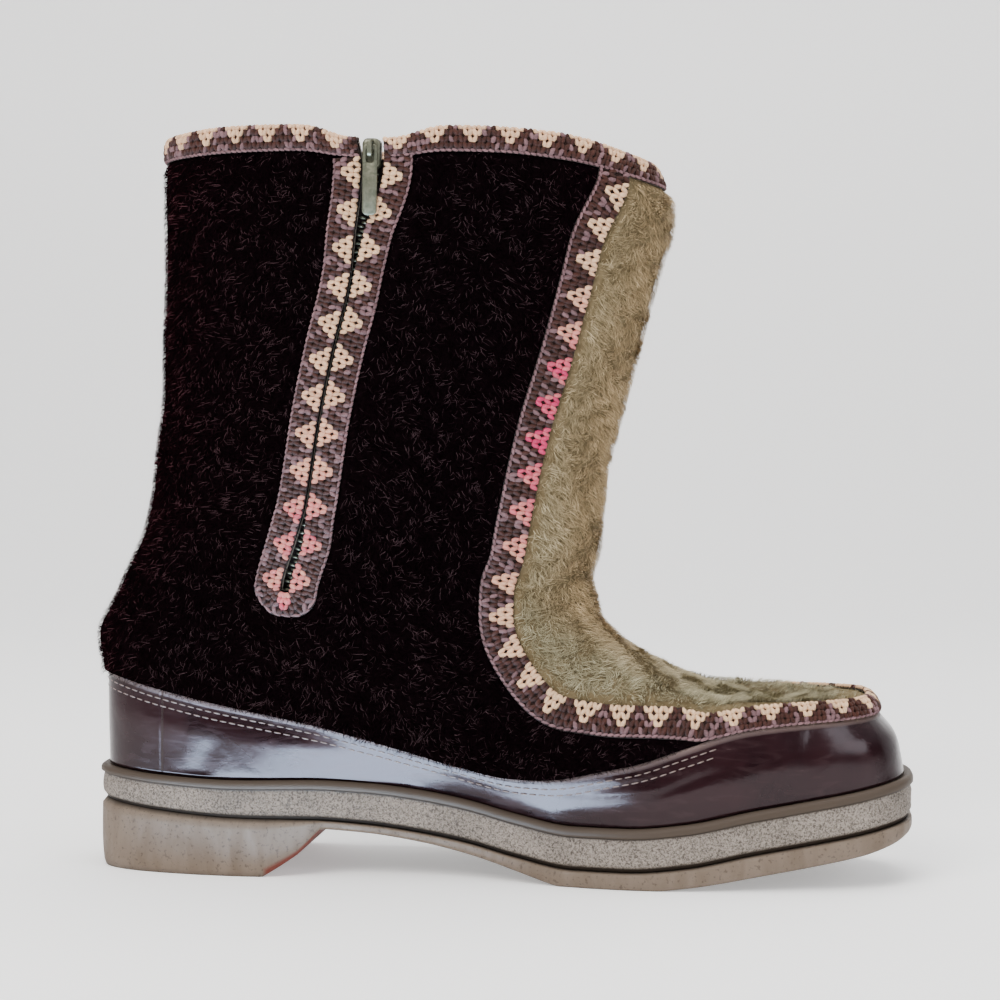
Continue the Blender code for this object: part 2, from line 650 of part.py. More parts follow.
def inner_offset(levels):
    """How deep the inner face lies: thick behind the foxing, thinner up the shaft."""
    deep = FOXING_THICKNESS + GAP + LINING_THICKNESS
    up = np.clip((levels - FOXING_LEVEL) / (INNER_STEP_LEVEL - FOXING_LEVEL), 0.0, 1.0)
    return -(deep + (SHAFT_WALL - deep) * up)


def olive_columns(grid):
    """Cell columns of the olive panel."""
    lateral = grid.lateral_seam_columns()
    medial = grid.medial_seam_columns()
    return set(range(lateral[2])) | set(range(medial[2], grid.columns))


def slit_cells(grid):
    """Cells that the zip's opening takes out of the wall."""
    column = grid.zip_columns()[2]
    return {(row, column) for row in range(grid.slit, grid.top)}


def fur_offset(grid, pile):
    """Height of the fur over the skin: pressed flat under each braid, full beside it."""
    height = np.full(grid.turns.shape, pile)
    lateral, medial, zip_columns = grid.lateral_seam_columns(), grid.medial_seam_columns(), grid.zip_columns()
    height[:, lateral[1:4]] = PRESSED_PILE
    height[:, medial[1:4]] = PRESSED_PILE
    height[grid.loop:, zip_columns[1]:zip_columns[4] + 1] = PRESSED_PILE
    height[grid.collar:] = PRESSED_PILE
    height[:grid.toe_braid + 1, :lateral[3] + 1] = PRESSED_PILE
    height[:grid.toe_braid + 1, medial[1]:] = PRESSED_PILE
    height[:grid.ledge + 1] = PRESSED_PILE
    return height


def build_upper(grid, materials):
    """The dark fur wall: one hollow solid, open at collar, zip, front panel and underneath."""
    olive = olive_columns(grid)
    cells = {(row, column) for row in range(grid.top) for column in range(grid.columns)
             if row < grid.foxing or column not in olive}
    turns, levels = shifted(grid, rows={0: FEATHER_GAP}, seam_side=DARK)
    outer = fur_offset(grid, PILE)
    outer[:grid.foxing + 1] = -(FOXING_THICKNESS + GAP)
    inner = inner_offset(levels)
    return solid_from_cells("upper", grid, cells - slit_cells(grid), skin(turns, levels, outer),
                            skin(turns, levels, inner), materials["fur"])


def build_front_panel(grid, materials):
    """The olive fur vamp and shaft front."""
    cells = {(row, column) for row in range(grid.ledge, grid.top) for column in olive_columns(grid)}
    turns, levels = shifted(grid, seam_side=OLIVE)
    outer = fur_offset(grid, PANEL_PILE)
    return solid_from_cells("front_panel", grid, cells, skin(turns, levels, outer),
                            skin(turns, levels, inner_offset(levels)), materials["olive_fur"])


def build_foxing(grid, materials):
    """The leather band between the sole and the fur."""
    cells = {(row, column) for row in range(grid.foxing) for column in range(grid.columns)}
    turns, levels = shifted(grid, rows={0: FEATHER_GAP, grid.foxing: -GAP})
    return solid_from_cells("foxing", grid, cells, skin(turns, levels, 0.0),
                            skin(turns, levels, -FOXING_THICKNESS), materials["leather"])


# Braids

def braid_faces(grid, turns, levels):
    """Outer and inner points of a braid that lies on pressed fur."""
    low = PRESSED_PILE + GAP
    return skin(turns, levels, low + BRAID_THICKNESS), skin(turns, levels, low)


def build_panel_braid(grid, materials):
    """The braid round the olive panel, down both seams and round the toe."""
    lateral, medial = grid.lateral_seam_columns(), grid.medial_seam_columns()
    toe = set(range(lateral[3])) | set(range(medial[1], grid.columns))
    legs = set(range(lateral[1], lateral[3])) | set(range(medial[1], medial[3]))
    cells = {(row, column) for row in range(grid.foxing, grid.toe_braid) for column in toe}
    cells |= {(row, column) for row in range(grid.toe_braid, grid.collar) for column in legs}
    turns, levels = shifted(grid, rows={grid.collar: -GAP})
    outer, inner = braid_faces(grid, turns, levels)
    return solid_from_cells("panel_braid", grid, cells, outer, inner, materials["braid"])


def build_zip_braid(grid, materials):
    """The braid loop round the zip."""
    columns = grid.zip_columns()
    cells = {(row, column) for row in range(grid.loop, grid.collar) for column in range(columns[1], columns[4])}
    turns, levels = shifted(grid, rows={grid.collar: -GAP})
    outer, inner = braid_faces(grid, turns, levels)
    return solid_from_cells("zip_braid", grid, cells - slit_cells(grid), outer, inner, materials["braid"])


def build_collar_braid(grid, materials):
    """The braid folded over the collar's edge, open at the zip."""
    columns = grid.zip_columns()
    around = [column % grid.columns for column in range(columns[3], columns[2] + grid.columns + 1)]
    low, wall = PRESSED_PILE + 2 * GAP, -SHAFT_WALL - 2 * GAP
    high, deep = low + BRAID_THICKNESS, wall - BRAID_THICKNESS
    edge = BRAID_THICKNESS / 3
    profile = (
        (COLLAR_BRAID_DROP, low), (COLLAR_BRAID_DROP, high), (BRAID_THICKNESS, high), (edge, high - edge),
        (0.0, low), (0.0, wall), (edge, deep + edge), (BRAID_THICKNESS, deep), (COLLAR_BRAID_DROP, deep),
        (COLLAR_BRAID_DROP, wall), (BRAID_THICKNESS, wall), (BRAID_THICKNESS, low),
    )
    drops, offsets = np.array(profile).T
    turns = grid.turns[grid.top][around]
    collar_turns = grid.turns[grid.collar][around]
    wall_drop = BRAID_THICKNESS + GAP
    share = np.clip((drops - wall_drop) / (COLLAR_BRAID_DROP - wall_drop), 0.0, 1.0)
    sections = [
        skin(top + (bottom - top) * share, 1 - drops / UPPER_HEIGHT, offsets)
        for top, bottom in zip(turns, collar_turns)
    ]
    return sweep("collar_braid", sections, materials["braid"])


# Zip

def zip_section(grid, level, profile):
    """A section across the zip; the profile holds distances from the zip and offsets from the skin."""
    distances, offsets = np.array(profile).T
    turns = np.array([grid.zip.beside(np.array([level]), distance)[0] for distance in distances])
    return skin(turns, np.full(len(profile), level), offsets)


def zip_depths():
    """Offsets of the teeth's face, the teeth's back and the tape's back."""
    face = -SHAFT_WALL - GAP
    back = face - TEETH_THICKNESS
    return face, back, back - GAP - TAPE_THICKNESS


def build_tape(grid, materials):
    """The cloth that carries the teeth, sewn to the wall along its edges."""
    face, back, tape_back = zip_depths()
    half, fold = TAPE_WIDTH / 2, TEETH_WIDTH / 2 + TEETH_THICKNESS
    tape_front = back - GAP
    profile = (
        (-half, face), (-fold, tape_front), (fold, tape_front), (half, face),
        (half, face - TAPE_THICKNESS), (fold, tape_back), (-fold, tape_back), (-half, face - TAPE_THICKNESS),
    )
    below_slit = 2 * TEETH_WIDTH / UPPER_HEIGHT
    under_binding = grid.levels[grid.collar] - 2 * GAP / UPPER_HEIGHT
    levels = np.linspace(grid.slit_level - below_slit / 2, under_binding, 14)
    return sweep("zip_tape", [zip_section(grid, level, profile) for level in levels], materials["tape"])


def build_teeth(grid, slider_bottom_level, materials):
    """The closed chain, stepped along its face where the teeth meet."""
    face, back, _ = zip_depths()
    half = TEETH_WIDTH / 2
    valley = face - TEETH_THICKNESS / 4
    start = grid.slit_level
    run = (slider_bottom_level - start) * UPPER_HEIGHT
    teeth = int(round(run / TOOTH_PITCH))
    sections = []
    for tooth in range(teeth):
        for share, height in ((0.0, face), (0.5, face), (0.5 + 0.04, valley), (1 - 0.04, valley)):
            level = start + (tooth + share) / teeth * (slider_bottom_level - start)
            profile = ((-half, height), (half, height), (half, back), (-half, back))
            sections.append(zip_section(grid, level, profile))
    return sweep("zip_teeth", sections, materials["zip_metal"])


def zip_frame(grid):
    """The slider's place: across, up and outward directions, and the pull's axis point on the skin."""
    level = 1 - 0.5 * COLLAR_BRAID_DROP / UPPER_HEIGHT
    turn = grid.zip.turn(level)
    levels = np.array([level])
    out = skin_normal(turn, levels)[0]
    by_turn, _ = skin_slopes(turn, levels)
    across = unit(by_turn[0] - out * np.dot(by_turn[0], out))
    up = np.cross(out, across)
    if up[2] < 0:
        across, up = -across, -up
    return skin(turn, levels, np.array([0.0]))[0], across, up, out


def block(name, frame, low, high, material):
    """A box in the zip's frame, from a cube, between two corners given as across, up and out."""
    low, high = np.array(low), np.array(high)
    shape = bmesh.new()
    bmesh.ops.create_cube(shape, size=1.0)
    bmesh.ops.scale(shape, vec=Vector(high - low), verts=shape.verts)
    bmesh.ops.translate(shape, vec=Vector((low + high) / 2), verts=shape.verts)
    mesh = bpy.data.meshes.new(name)
    shape.to_mesh(mesh)
    shape.free()
    made = bpy.data.objects.new(name, mesh)
    made.matrix_world = frame_matrix(frame)
    made.data.materials.append(material)
    return made


def frame_matrix(frame):
    """Matrix that takes across, up and out to world directions at the frame's point."""
    point, across, up, out = frame
    columns = np.column_stack([across, up, out])
    return Matrix.Translation(Vector(point)) @ Matrix(columns.tolist()).to_4x4()


def flat_plate(name, loops, thickness, low, frame, material):
    """A plate from a filled 2D curve, its loops drawn across and up, its back at a height outward."""
    curve = bpy.data.curves.new(name, "CURVE")
    curve.dimensions = "2D"
    curve.fill_mode = "BOTH"
    curve.extrude = thickness / 2
    for loop in loops:
        spline = curve.splines.new("POLY")
        spline.points.add(len(loop) - 1)
        spline.use_cyclic_u = True
        for point, (a, b) in zip(spline.points, loop):
            point.co = (a, b, 0.0, 1.0)
    drawn = bpy.data.objects.new(name + "_outline", curve)
    COLLECTION.objects.link(drawn)
    bpy.context.view_layer.update()
    evaluated = drawn.evaluated_get(bpy.context.evaluated_depsgraph_get())
    mesh = bpy.data.meshes.new_from_object(evaluated)
    bpy.data.objects.remove(drawn)
    shape = bmesh.new()
    shape.from_mesh(mesh)
    bmesh.ops.remove_doubles(shape, verts=shape.verts, dist=MM / 100)
    bmesh.ops.translate(shape, vec=Vector((0.0, 0.0, low + thickness / 2)), verts=shape.verts)
    bmesh.ops.recalc_face_normals(shape, faces=shape.faces)
    shape.to_mesh(mesh)
    shape.free()
    mesh.materials.clear()
    mesh.materials.append(material)
    made = bpy.data.objects.new(name, mesh)
    made.matrix_world = frame_matrix(frame)
    COLLECTION.objects.link(made)
    return made


def join(target, others):
    """Boolean union of objects into the first one."""
    for other in others:
        CUTTERS.objects.link(other)
        other.hide_render = True
        other.display_type = "WIRE"
        union = target.modifiers.new("join_" + other.name, "BOOLEAN")
        union.operation = "UNION"
        union.object = other


def rounded_rectangle(width, low, high, corner):
    """An upright rectangle with cut-round corners, as a loop of across and up pairs."""
    half = width / 2
    loop = []
    for centre_a, centre_b, first in (
        (half - corner, high - corner, 0), (-half + corner, high - corner, 90),
        (-half + corner, low + corner, 180), (half - corner, low + corner, 270),
    ):
        for angle in (first, first + 45, first + 90):
            turned = math.radians(angle)
            loop.append((centre_a + corner * math.cos(turned), centre_b + corner * math.sin(turned)))
    return loop


def build_slider(grid, materials):
    """The slider's body with its bail, seated on the tape; returns the frame at the pull's axis."""
    point, across, up, out = zip_frame(grid)
    _, back, _ = zip_depths()
    bar_height = BAIL_REACH / 2
    axis = (point + out * (SLIDER_FRONT + bar_height), across, up, out)
    floor = -bar_height
    body_low, body_high = -0.72 * SLIDER_HEIGHT, 0.28 * SLIDER_HEIGHT
    thickness = SLIDER_FRONT - back
    loop = rounded_rectangle(SLIDER_WIDTH, body_low, body_high, SLIDER_WIDTH / 3)
    body = flat_plate("zip_slider", [loop], thickness, floor - thickness, axis, materials["zip_metal"])
    slot_low, slot_high = -1.6 * PULL_CROSSBAR, PULL_CROSSBAR
    half = BAIL_WIDTH / 2
    top = floor + BAIL_REACH
    bite = BAIL_BAR / 2
    feet = []
    for name, start in (("bail_lower_foot", slot_low - BAIL_BAR), ("bail_upper_foot", slot_high)):
        feet.append(block(name, axis, (-half, start, floor - bite), (half, start + BAIL_BAR, top + bite),
                          materials["zip_metal"]))
    bridge = block("bail_bridge", axis, (-half, slot_low - BAIL_BAR, top), (half, slot_high + BAIL_BAR, top + BAIL_BAR),
                   materials["zip_metal"])
    join(body, feet + [bridge])
    return axis, body_low


def build_pull(axis, materials):
    """The pull tab: a plate with a window, hung by its crossbar under the bail."""
    window_width, window_length = PULL_WINDOW
    high = PULL_CROSSBAR / 2
    low = high - PULL_LENGTH
    outside = rounded_rectangle(PULL_WIDTH, low, high, PULL_WIDTH / 4)
    inside = rounded_rectangle(window_width, -PULL_CROSSBAR / 2 - window_length, -PULL_CROSSBAR / 2,
                               window_width / 5)
    return flat_plate("zip_pull", [outside, inside], PULL_THICKNESS, -PULL_THICKNESS / 2, axis,
                      materials["zip_metal"])


def build_zip(grid, materials):
    """Tape, teeth, slider and pull."""
    axis, body_low = build_slider(grid, materials)
    build_pull(axis, materials)
    build_tape(grid, materials)
    slider_bottom = axis[0][2] + axis[2][2] * body_low
    samples = np.linspace(grid.slit_level, 1.0, 50)
    heights = shell(grid.zip.turn(samples), samples)[:, 2]
    build_teeth(grid, np.interp(slider_bottom - 2 * GAP, heights, samples), materials)


# Assembly

def clear_scene():
    """Remove everything that the opening scene holds."""
    for old in list(bpy.data.objects):
        bpy.data.objects.remove(old)


def new_collection(name):
    """A collection linked to the scene."""
    made = bpy.data.collections.new(name)
    bpy.context.scene.collection.children.link(made)
    return made


def make_materials():
    """One material for each kind of surface."""
    made = {}
    for name, (colour, roughness, metallic) in COLOURS.items():
        material = bpy.data.materials.new(name)
        material.use_nodes = True
        shader = material.node_tree.nodes["Principled BSDF"]
        shader.inputs["Base Color"].default_value = (*colour, 1.0)
        shader.inputs["Roughness"].default_value = roughness
        shader.inputs["Metallic"].default_value = metallic
        made[name] = material
    return made


def stand_on_origin():
    """Move the boot so that the bottom centre of its box is the origin."""
    bpy.context.view_layer.update()
    depsgraph = bpy.context.evaluated_depsgraph_get()
    corners = []
    for made in COLLECTION.objects:
        evaluated = made.evaluated_get(depsgraph)
        corners += [made.matrix_world @ vertex.co for vertex in evaluated.data.vertices]
    corners = np.array(corners)
    low, high = corners.min(axis=0), corners.max(axis=0)
    shift = Vector((-(low[0] + high[0]) / 2, -(low[1] + high[1]) / 2, -low[2]))
    for made in list(COLLECTION.objects) + list(CUTTERS.objects):
        made.matrix_world = Matrix.Translation(shift) @ made.matrix_world


clear_scene()
COLLECTION = new_collection("winter_boot")
CUTTERS = new_collection("cutters")
MATERIALS = make_materials()
GRID = Grid()
build_sole(MATERIALS)
build_upper(GRID, MATERIALS)
build_front_panel(GRID, MATERIALS)
build_foxing(GRID, MATERIALS)
build_panel_braid(GRID, MATERIALS)
build_zip_braid(GRID, MATERIALS)
build_collar_braid(GRID, MATERIALS)
build_zip(GRID, MATERIALS)
stand_on_origin()
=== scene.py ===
"""Looks of the winter boot: plush, glossy leather, woven braid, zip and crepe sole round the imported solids.

The boot's own frame has its heel at x 0 and the floor at z 0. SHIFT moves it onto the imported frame.
All lengths are in metres. The toe is at +X and the medial side, with the zip, faces -Y.
"""
import math

import bpy
import numpy as np
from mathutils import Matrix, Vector


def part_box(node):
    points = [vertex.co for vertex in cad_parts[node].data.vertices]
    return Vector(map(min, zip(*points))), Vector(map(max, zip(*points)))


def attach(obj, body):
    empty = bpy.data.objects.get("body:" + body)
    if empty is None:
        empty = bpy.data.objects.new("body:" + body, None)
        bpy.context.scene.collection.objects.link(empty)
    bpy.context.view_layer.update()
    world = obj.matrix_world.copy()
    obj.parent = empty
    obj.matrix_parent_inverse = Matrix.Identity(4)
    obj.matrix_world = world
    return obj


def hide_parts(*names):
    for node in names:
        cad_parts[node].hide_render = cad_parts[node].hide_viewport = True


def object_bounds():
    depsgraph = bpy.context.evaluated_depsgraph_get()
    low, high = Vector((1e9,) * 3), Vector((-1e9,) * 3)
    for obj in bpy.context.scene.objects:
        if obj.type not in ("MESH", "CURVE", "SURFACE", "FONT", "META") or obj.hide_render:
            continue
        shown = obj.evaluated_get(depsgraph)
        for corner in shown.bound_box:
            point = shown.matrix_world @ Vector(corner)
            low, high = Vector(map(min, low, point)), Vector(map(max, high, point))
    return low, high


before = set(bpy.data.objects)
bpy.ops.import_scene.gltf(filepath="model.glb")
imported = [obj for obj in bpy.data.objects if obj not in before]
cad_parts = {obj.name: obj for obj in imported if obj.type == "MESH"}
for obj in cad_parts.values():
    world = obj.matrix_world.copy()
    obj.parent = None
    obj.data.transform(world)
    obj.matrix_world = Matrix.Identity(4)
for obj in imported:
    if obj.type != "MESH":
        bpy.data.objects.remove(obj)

CAD_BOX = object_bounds()
MM = 0.001

# Main sizes, as in the solids
LENGTH = 279.0 * MM
BALL_WIDTH = 100.0 * MM
UPPER_HEIGHT = 230.0 * MM
SOLE_STACK = 19.8 * MM
HEEL_LIFT = 12.7 * MM
TOE_SPRING = 16.8 * MM
MIDSOLE_DEPTH = 14.0 * MM
OUTSOLE_DEPTH = 5.9 * MM
SOLE_LIP = 3.0 * MM
FOXING_THICKNESS = 1.8 * MM
LINING_THICKNESS = 2.4 * MM
SHAFT_WALL = 2.2 * MM
PILE = 2.8 * MM
PANEL_PILE = 3.2 * MM
PRESSED_PILE = 0.3 * MM
PANEL_BRAID_WIDTH = 11.6 * MM
COLLAR_BRAID_DROP = 8.0 * MM
ZIP_BRAID_WIDTH = 9.4 * MM
BRAID_THICKNESS = 1.5 * MM
PILE_SHOULDER = 2.4 * MM
TEETH_WIDTH = 4.2 * MM
TEETH_THICKNESS = 1.6 * MM
GAP = 0.3 * MM
FEATHER_GAP = 0.5 * MM
COLLAR_DIP = 4.5 * MM
COLLAR_DIP_WIDTH = 17.0 * MM
COLLAR_DIP_FROM, COLLAR_DIP_SPAN = 0.90, 0.10    # levels

# Sole lines. along: share of LENGTH; lift: share of HEEL_LIFT; spring: share of TOE_SPRING
LIFT_TABLE = (
    (0.00, 1.20), (0.09, 1.04), (0.18, 0.97), (0.28, 1.00), (0.35, 0.92),
    (0.41, 0.76), (0.47, 0.53), (0.53, 0.23), (0.60, 0.00), (1.00, 0.00),
)
SPRING_TABLE = (
    (0.00, 0.00), (0.66, 0.00), (0.73, 0.10), (0.81, 0.37), (0.865, 0.53),
    (0.935, 0.73), (1.00, 0.96),
)
# along: share of LENGTH; depth: share of MIDSOLE_DEPTH
BAND_TABLE = ((0.00, 0.79), (0.10, 0.84), (0.27, 0.93), (0.45, 1.00), (1.00, 1.00))
# along: share of LENGTH; depth: share of OUTSOLE_DEPTH
TREAD_TABLE = (
    (0.00, 0.50), (0.34, 0.50), (0.405, 0.54), (0.466, 0.64), (0.51, 0.72), (0.55, 0.90),
    (0.59, 1.07), (0.69, 1.10), (0.735, 1.12), (0.81, 1.25), (0.935, 1.20), (0.97, 1.07), (1.00, 0.75),
)
# How far down the side the breast's colour begins, a share of the side's height
BREAST_EDGE = 0.85
# along: share of LENGTH; open: 0 under the heel block, 1 past its slanted breast
BREAST_TABLE = ((0.2225, 0.0), (0.244, 0.22), (0.265, 0.46), (0.28, 0.73), (0.293, 1.0))
BREAST_SPAN = (0.02, 0.98)       # of open, where the breast is coloured
# Sides of the sole. down: share of the layer's depth; inset: share of SOLE_LIP
MIDSOLE_SIDE = (
    (0.00, 0.40), (0.06, 0.10), (0.11, 0.00), (0.20, 0.00), (0.25, 0.36), (0.50, 0.22),
    (0.84, 0.30), (0.92, 0.55), (1.00, 0.75),
)
OUTSOLE_SIDE = ((0.00, 0.75), (0.10, 0.15), (0.55, 0.12), (0.93, 0.30), (1.00, 0.50))

# Centre line seen from above. along: share of LENGTH; aside: share of BALL_WIDTH, + is lateral
CENTRE_TABLE = ((0.0, 0.0), (0.4, 0.03), (0.66, 0.02), (0.85, -0.02), (1.0, -0.07))
SWING_FADE = (0.28, 0.50)

# Rings round the boot, from the sole to the collar. Each row is one ring.
# rise_0 to rise_5: height above the sole at the stations below, share of UPPER_HEIGHT; rise_0 is its level
# follow: how much of the sole's lift and spring the ring takes
# back, front: where the ring begins and ends, share of LENGTH
# heel, waist, ball: half widths, share of BALL_WIDTH; round: exponent of the ring's ends
STATIONS = np.array((0.0, 0.16, 0.50, 0.68, 0.82, 1.0))
WIDTH_STATIONS = np.array((0.0, 0.15, 0.42, 0.72, 1.0))
RINGS = np.array((
    (0.000, 0.000, 0.000, 0.000, 0.000, 0.000, 1.0, 0.011, 0.989, 0.400, 0.325, 0.500, 0.60),
    (0.072, 0.056, 0.024, 0.042, 0.056, 0.055, 1.0, 0.010, 0.980, 0.400, 0.345, 0.515, 0.60),
    (0.145, 0.112, 0.048, 0.086, 0.116, 0.098, 1.0, 0.009, 0.957, 0.385, 0.360, 0.505, 0.60),
    (0.163, 0.134, 0.069, 0.112, 0.141, 0.120, 1.0, 0.007, 0.946, 0.385, 0.365, 0.490, 0.60),
    (0.179, 0.147, 0.084, 0.127, 0.152, 0.122, 1.0, 0.004, 0.903, 0.380, 0.370, 0.470, 0.62),
    (0.192, 0.160, 0.097, 0.139, 0.173, 0.122, 1.0, 0.003, 0.846, 0.380, 0.380, 0.440, 0.66),
    (0.211, 0.182, 0.122, 0.151, 0.194, 0.145, 0.9, 0.004, 0.795, 0.380, 0.390, 0.420, 0.70),
    (0.242, 0.214, 0.159, 0.185, 0.227, 0.182, 0.7, 0.011, 0.732, 0.380, 0.400, 0.390, 0.72),
    (0.277, 0.256, 0.219, 0.237, 0.259, 0.211, 0.5, 0.021, 0.686, 0.375, 0.400, 0.360, 0.76),
    (0.321, 0.306, 0.285, 0.296, 0.301, 0.241, 0.3, 0.033, 0.646, 0.370, 0.400, 0.340, 0.80),
    (0.373, 0.365, 0.353, 0.355, 0.357, 0.288, 0.1, 0.047, 0.612, 0.365, 0.395, 0.325, 0.84),
    (0.431, 0.425, 0.416, 0.414, 0.410, 0.336, 0.0, 0.064, 0.606, 0.360, 0.390, 0.330, 0.87),
    (0.492, 0.483, 0.473, 0.470, 0.468, 0.405, 0.0, 0.072, 0.611, 0.360, 0.390, 0.340, 0.90),
    (0.583, 0.577, 0.568, 0.566, 0.562, 0.518, 0.0, 0.080, 0.624, 0.365, 0.395, 0.360, 0.92),
    (0.705, 0.701, 0.692, 0.690, 0.683, 0.653, 0.0, 0.085, 0.652, 0.375, 0.405, 0.370, 0.94),
    (0.844, 0.842, 0.836, 0.833, 0.827, 0.801, 0.0, 0.087, 0.686, 0.390, 0.415, 0.385, 0.96),
    (0.936, 0.936, 0.931, 0.929, 0.918, 0.888, 0.0, 0.086, 0.702, 0.400, 0.425, 0.400, 0.96),
    (1.000, 1.007, 1.000, 0.999, 0.992, 0.957, 0.0, 0.086, 0.683, 0.405, 0.430, 0.405, 0.96),
))
RING_COLUMNS = {
    "rise": slice(0, 6), "follow": 6, "back": 7, "front": 8, "widths": (9, 9, 10, 11, 11), "round": 12,
}
LEVELS = RINGS[:, 0]

# Lines on the boot's side. along: share of LENGTH; rise: share of UPPER_HEIGHT above SOLE_STACK
SEAM_LINE = (
    (0.796, 0.142), (0.763, 0.145), (0.699, 0.149), (0.634, 0.149), (0.573, 0.162), (0.536, 0.205),
    (0.509, 0.257), (0.502, 0.310), (0.514, 0.377), (0.528, 0.468), (0.546, 0.564), (0.565, 0.640),
    (0.584, 0.718), (0.609, 0.836), (0.642, 0.940), (0.652, 0.975),
)
ZIP_LINE = (
    (0.247, 0.296), (0.253, 0.330), (0.272, 0.412), (0.283, 0.475), (0.294, 0.559), (0.314, 0.675),
    (0.333, 0.762), (0.346, 0.849), (0.357, 0.900), (0.361, 0.975),
)
# Half the gap between the zip's two edges. level; half: share of ZIP_BRAID_WIDTH
ZIP_OPENING = (
    (0.30, 0.19), (0.42, 0.16), (0.46, 0.07), (0.80, 0.07), (0.87, 0.20), (0.92, 0.36), (1.00, 0.46),
)
FOXING_LEVEL = 0.145
TOE_BRAID_LEVEL = 0.167
INNER_STEP_LEVEL = 0.277
LOOP_BOTTOM = (0.247, 0.296)
SLIT_BOTTOM = (0.254, 0.333)
LOOP_ROUND = ((0.0, 0.45), (0.5, 0.86), (1.0, 1.0))

# Zip slider and pull
SLIDER_WIDTH = 6.0 * MM
SLIDER_HEIGHT = 10.0 * MM
SLIDER_FRONT = 1.4 * MM
BAIL_WIDTH = 1.6 * MM
BAIL_BAR = 1.1 * MM
BAIL_REACH = 2.8 * MM
PULL_WIDTH = 4.8 * MM
PULL_LENGTH = 23.0 * MM
PULL_THICKNESS = 1.2 * MM
PULL_CROSSBAR = 1.4 * MM
PULL_WINDOW = (2.6 * MM, 4.6 * MM)

# Meshes of the looks
ROW_STEP = 2.6 * MM
COLUMN_STEP = 2.6 * MM
SEAM_COLUMN_STEP = 0.7 * COLUMN_STEP
LEAST_CELLS = 3                  # in a stretch between two bands of columns
SOLE_CELLS = 440
SOLE_STRIPS = 8                  # across a layer's top and bottom
MIDSOLE_ROWS = 22
OUTSOLE_ROWS = 10
FOXING_ROWS = 30
FOXING_COLUMN = 0.5              # share of one of the net's columns
LINING_SKIN = 1.2 * MM
LINING_GAP = 0.1 * MM
BEVEL_ROUND = 0.3                # share of a bevel that its middle point keeps
RING_SAMPLES = 80
LINE_SAMPLES = 120
STRETCH_SAMPLES = 60

# Crinkle of the midsole's band: from and to are shares of the side's height, and so is the fade
CRINKLE_FROM, CRINKLE_TO, CRINKLE_FADE = 0.24, 0.86, 0.06
CRINKLE_SIZE = 3.1 * MM
CRINKLE_DEPTH = 0.16 * MM
CRINKLE_SEED = 5

# Soft troughs and ridges in the fur, placed in the side view.
# along: share of LENGTH; rise: share of UPPER_HEIGHT; lean: degrees; run, spread, depth: millimetres;
# side: -1 medial, 1 lateral, 0 both
CREASES = (
    (0.630, 0.345, -12, 26, 5.0, -1.4, 0), (0.620, 0.400, -5, 22, 6.0, 0.7, 0),
    (0.665, 0.280, -20, 20, 6.0, 0.6, 0), (0.600, 0.500, 10, 20, 6.0, -0.6, 0),
    (0.720, 0.215, -30, 14, 4.0, -0.5, 0), (0.640, 0.740, 20, 16, 5.0, -0.5, 0),
    (0.200, 0.360, 15, 30, 7.0, -1.0, 0), (0.160, 0.440, 8, 26, 8.0, 0.8, 0),
    (0.420, 0.300, -25, 34, 8.0, -0.9, 0), (0.450, 0.400, -15, 26, 7.0, 0.6, 0),
    (0.420, 0.620, 80, 40, 9.0, 0.8, -1), (0.150, 0.750, 85, 40, 10.0, -0.8, 0),
    (0.480, 0.800, 70, 30, 9.0, -0.7, 0), (0.100, 0.220, 10, 26, 7.0, 0.7, 0),
    (0.300, 0.700, 75, 44, 9.0, -0.8, 1), (0.520, 0.170, -8, 40, 5.0, 0.6, 0),
)
# Flex lines and shallow dents in the leather, in the same columns
LEATHER_DENTS = (
    (0.690, 0.090, 14, 12, 1.6, -0.28, 0), (0.660, 0.062, 10, 16, 1.8, -0.25, 0),
    (0.730, 0.065, 22, 13, 1.8, -0.22, 0), (0.620, 0.040, 4, 20, 2.0, -0.20, 0),
    (0.870, 0.090, 75, 14, 4.0, -0.35, 0), (0.940, 0.100, 80, 12, 3.5, 0.30, 0),
    (0.790, 0.060, 40, 12, 4.0, 0.25, 0), (0.150, 0.080, 60, 14, 5.0, -0.30, 0),
)
SIDE_FADE = 20 * MM              # across the boot, for a form on one side
# Gathers of the leather's upper edge at the toe
PUCKER_SPAN = (0.72, 0.90)       # share of LENGTH
PUCKER_PITCH = 5.2 * MM
PUCKER_DEPTH = 0.22 * MM
PUCKER_FADES = (8 * MM, 14 * MM)
PUCKER_SWAY = 14 * MM
PUCKER_POWER = 4
PUCKER_SEED = 11
# Slight unevenness. size and depth of the lumps, and the seed of their places
LEATHER_WAVE = (34 * MM, 0.12 * MM, 12)
GROUND_WAVE = (17 * MM, 0.22 * MM, 21)
FRINGE_FROM, FRINGE_SPAN = 0.93, 0.07    # share of the leather's height
# How steeply the leather's relief ends at its upper edge, what is left of it there, and the same at the sole
TOP_FADE, TOP_KEPT, FEATHER_FADE = 8, 0.3, 10

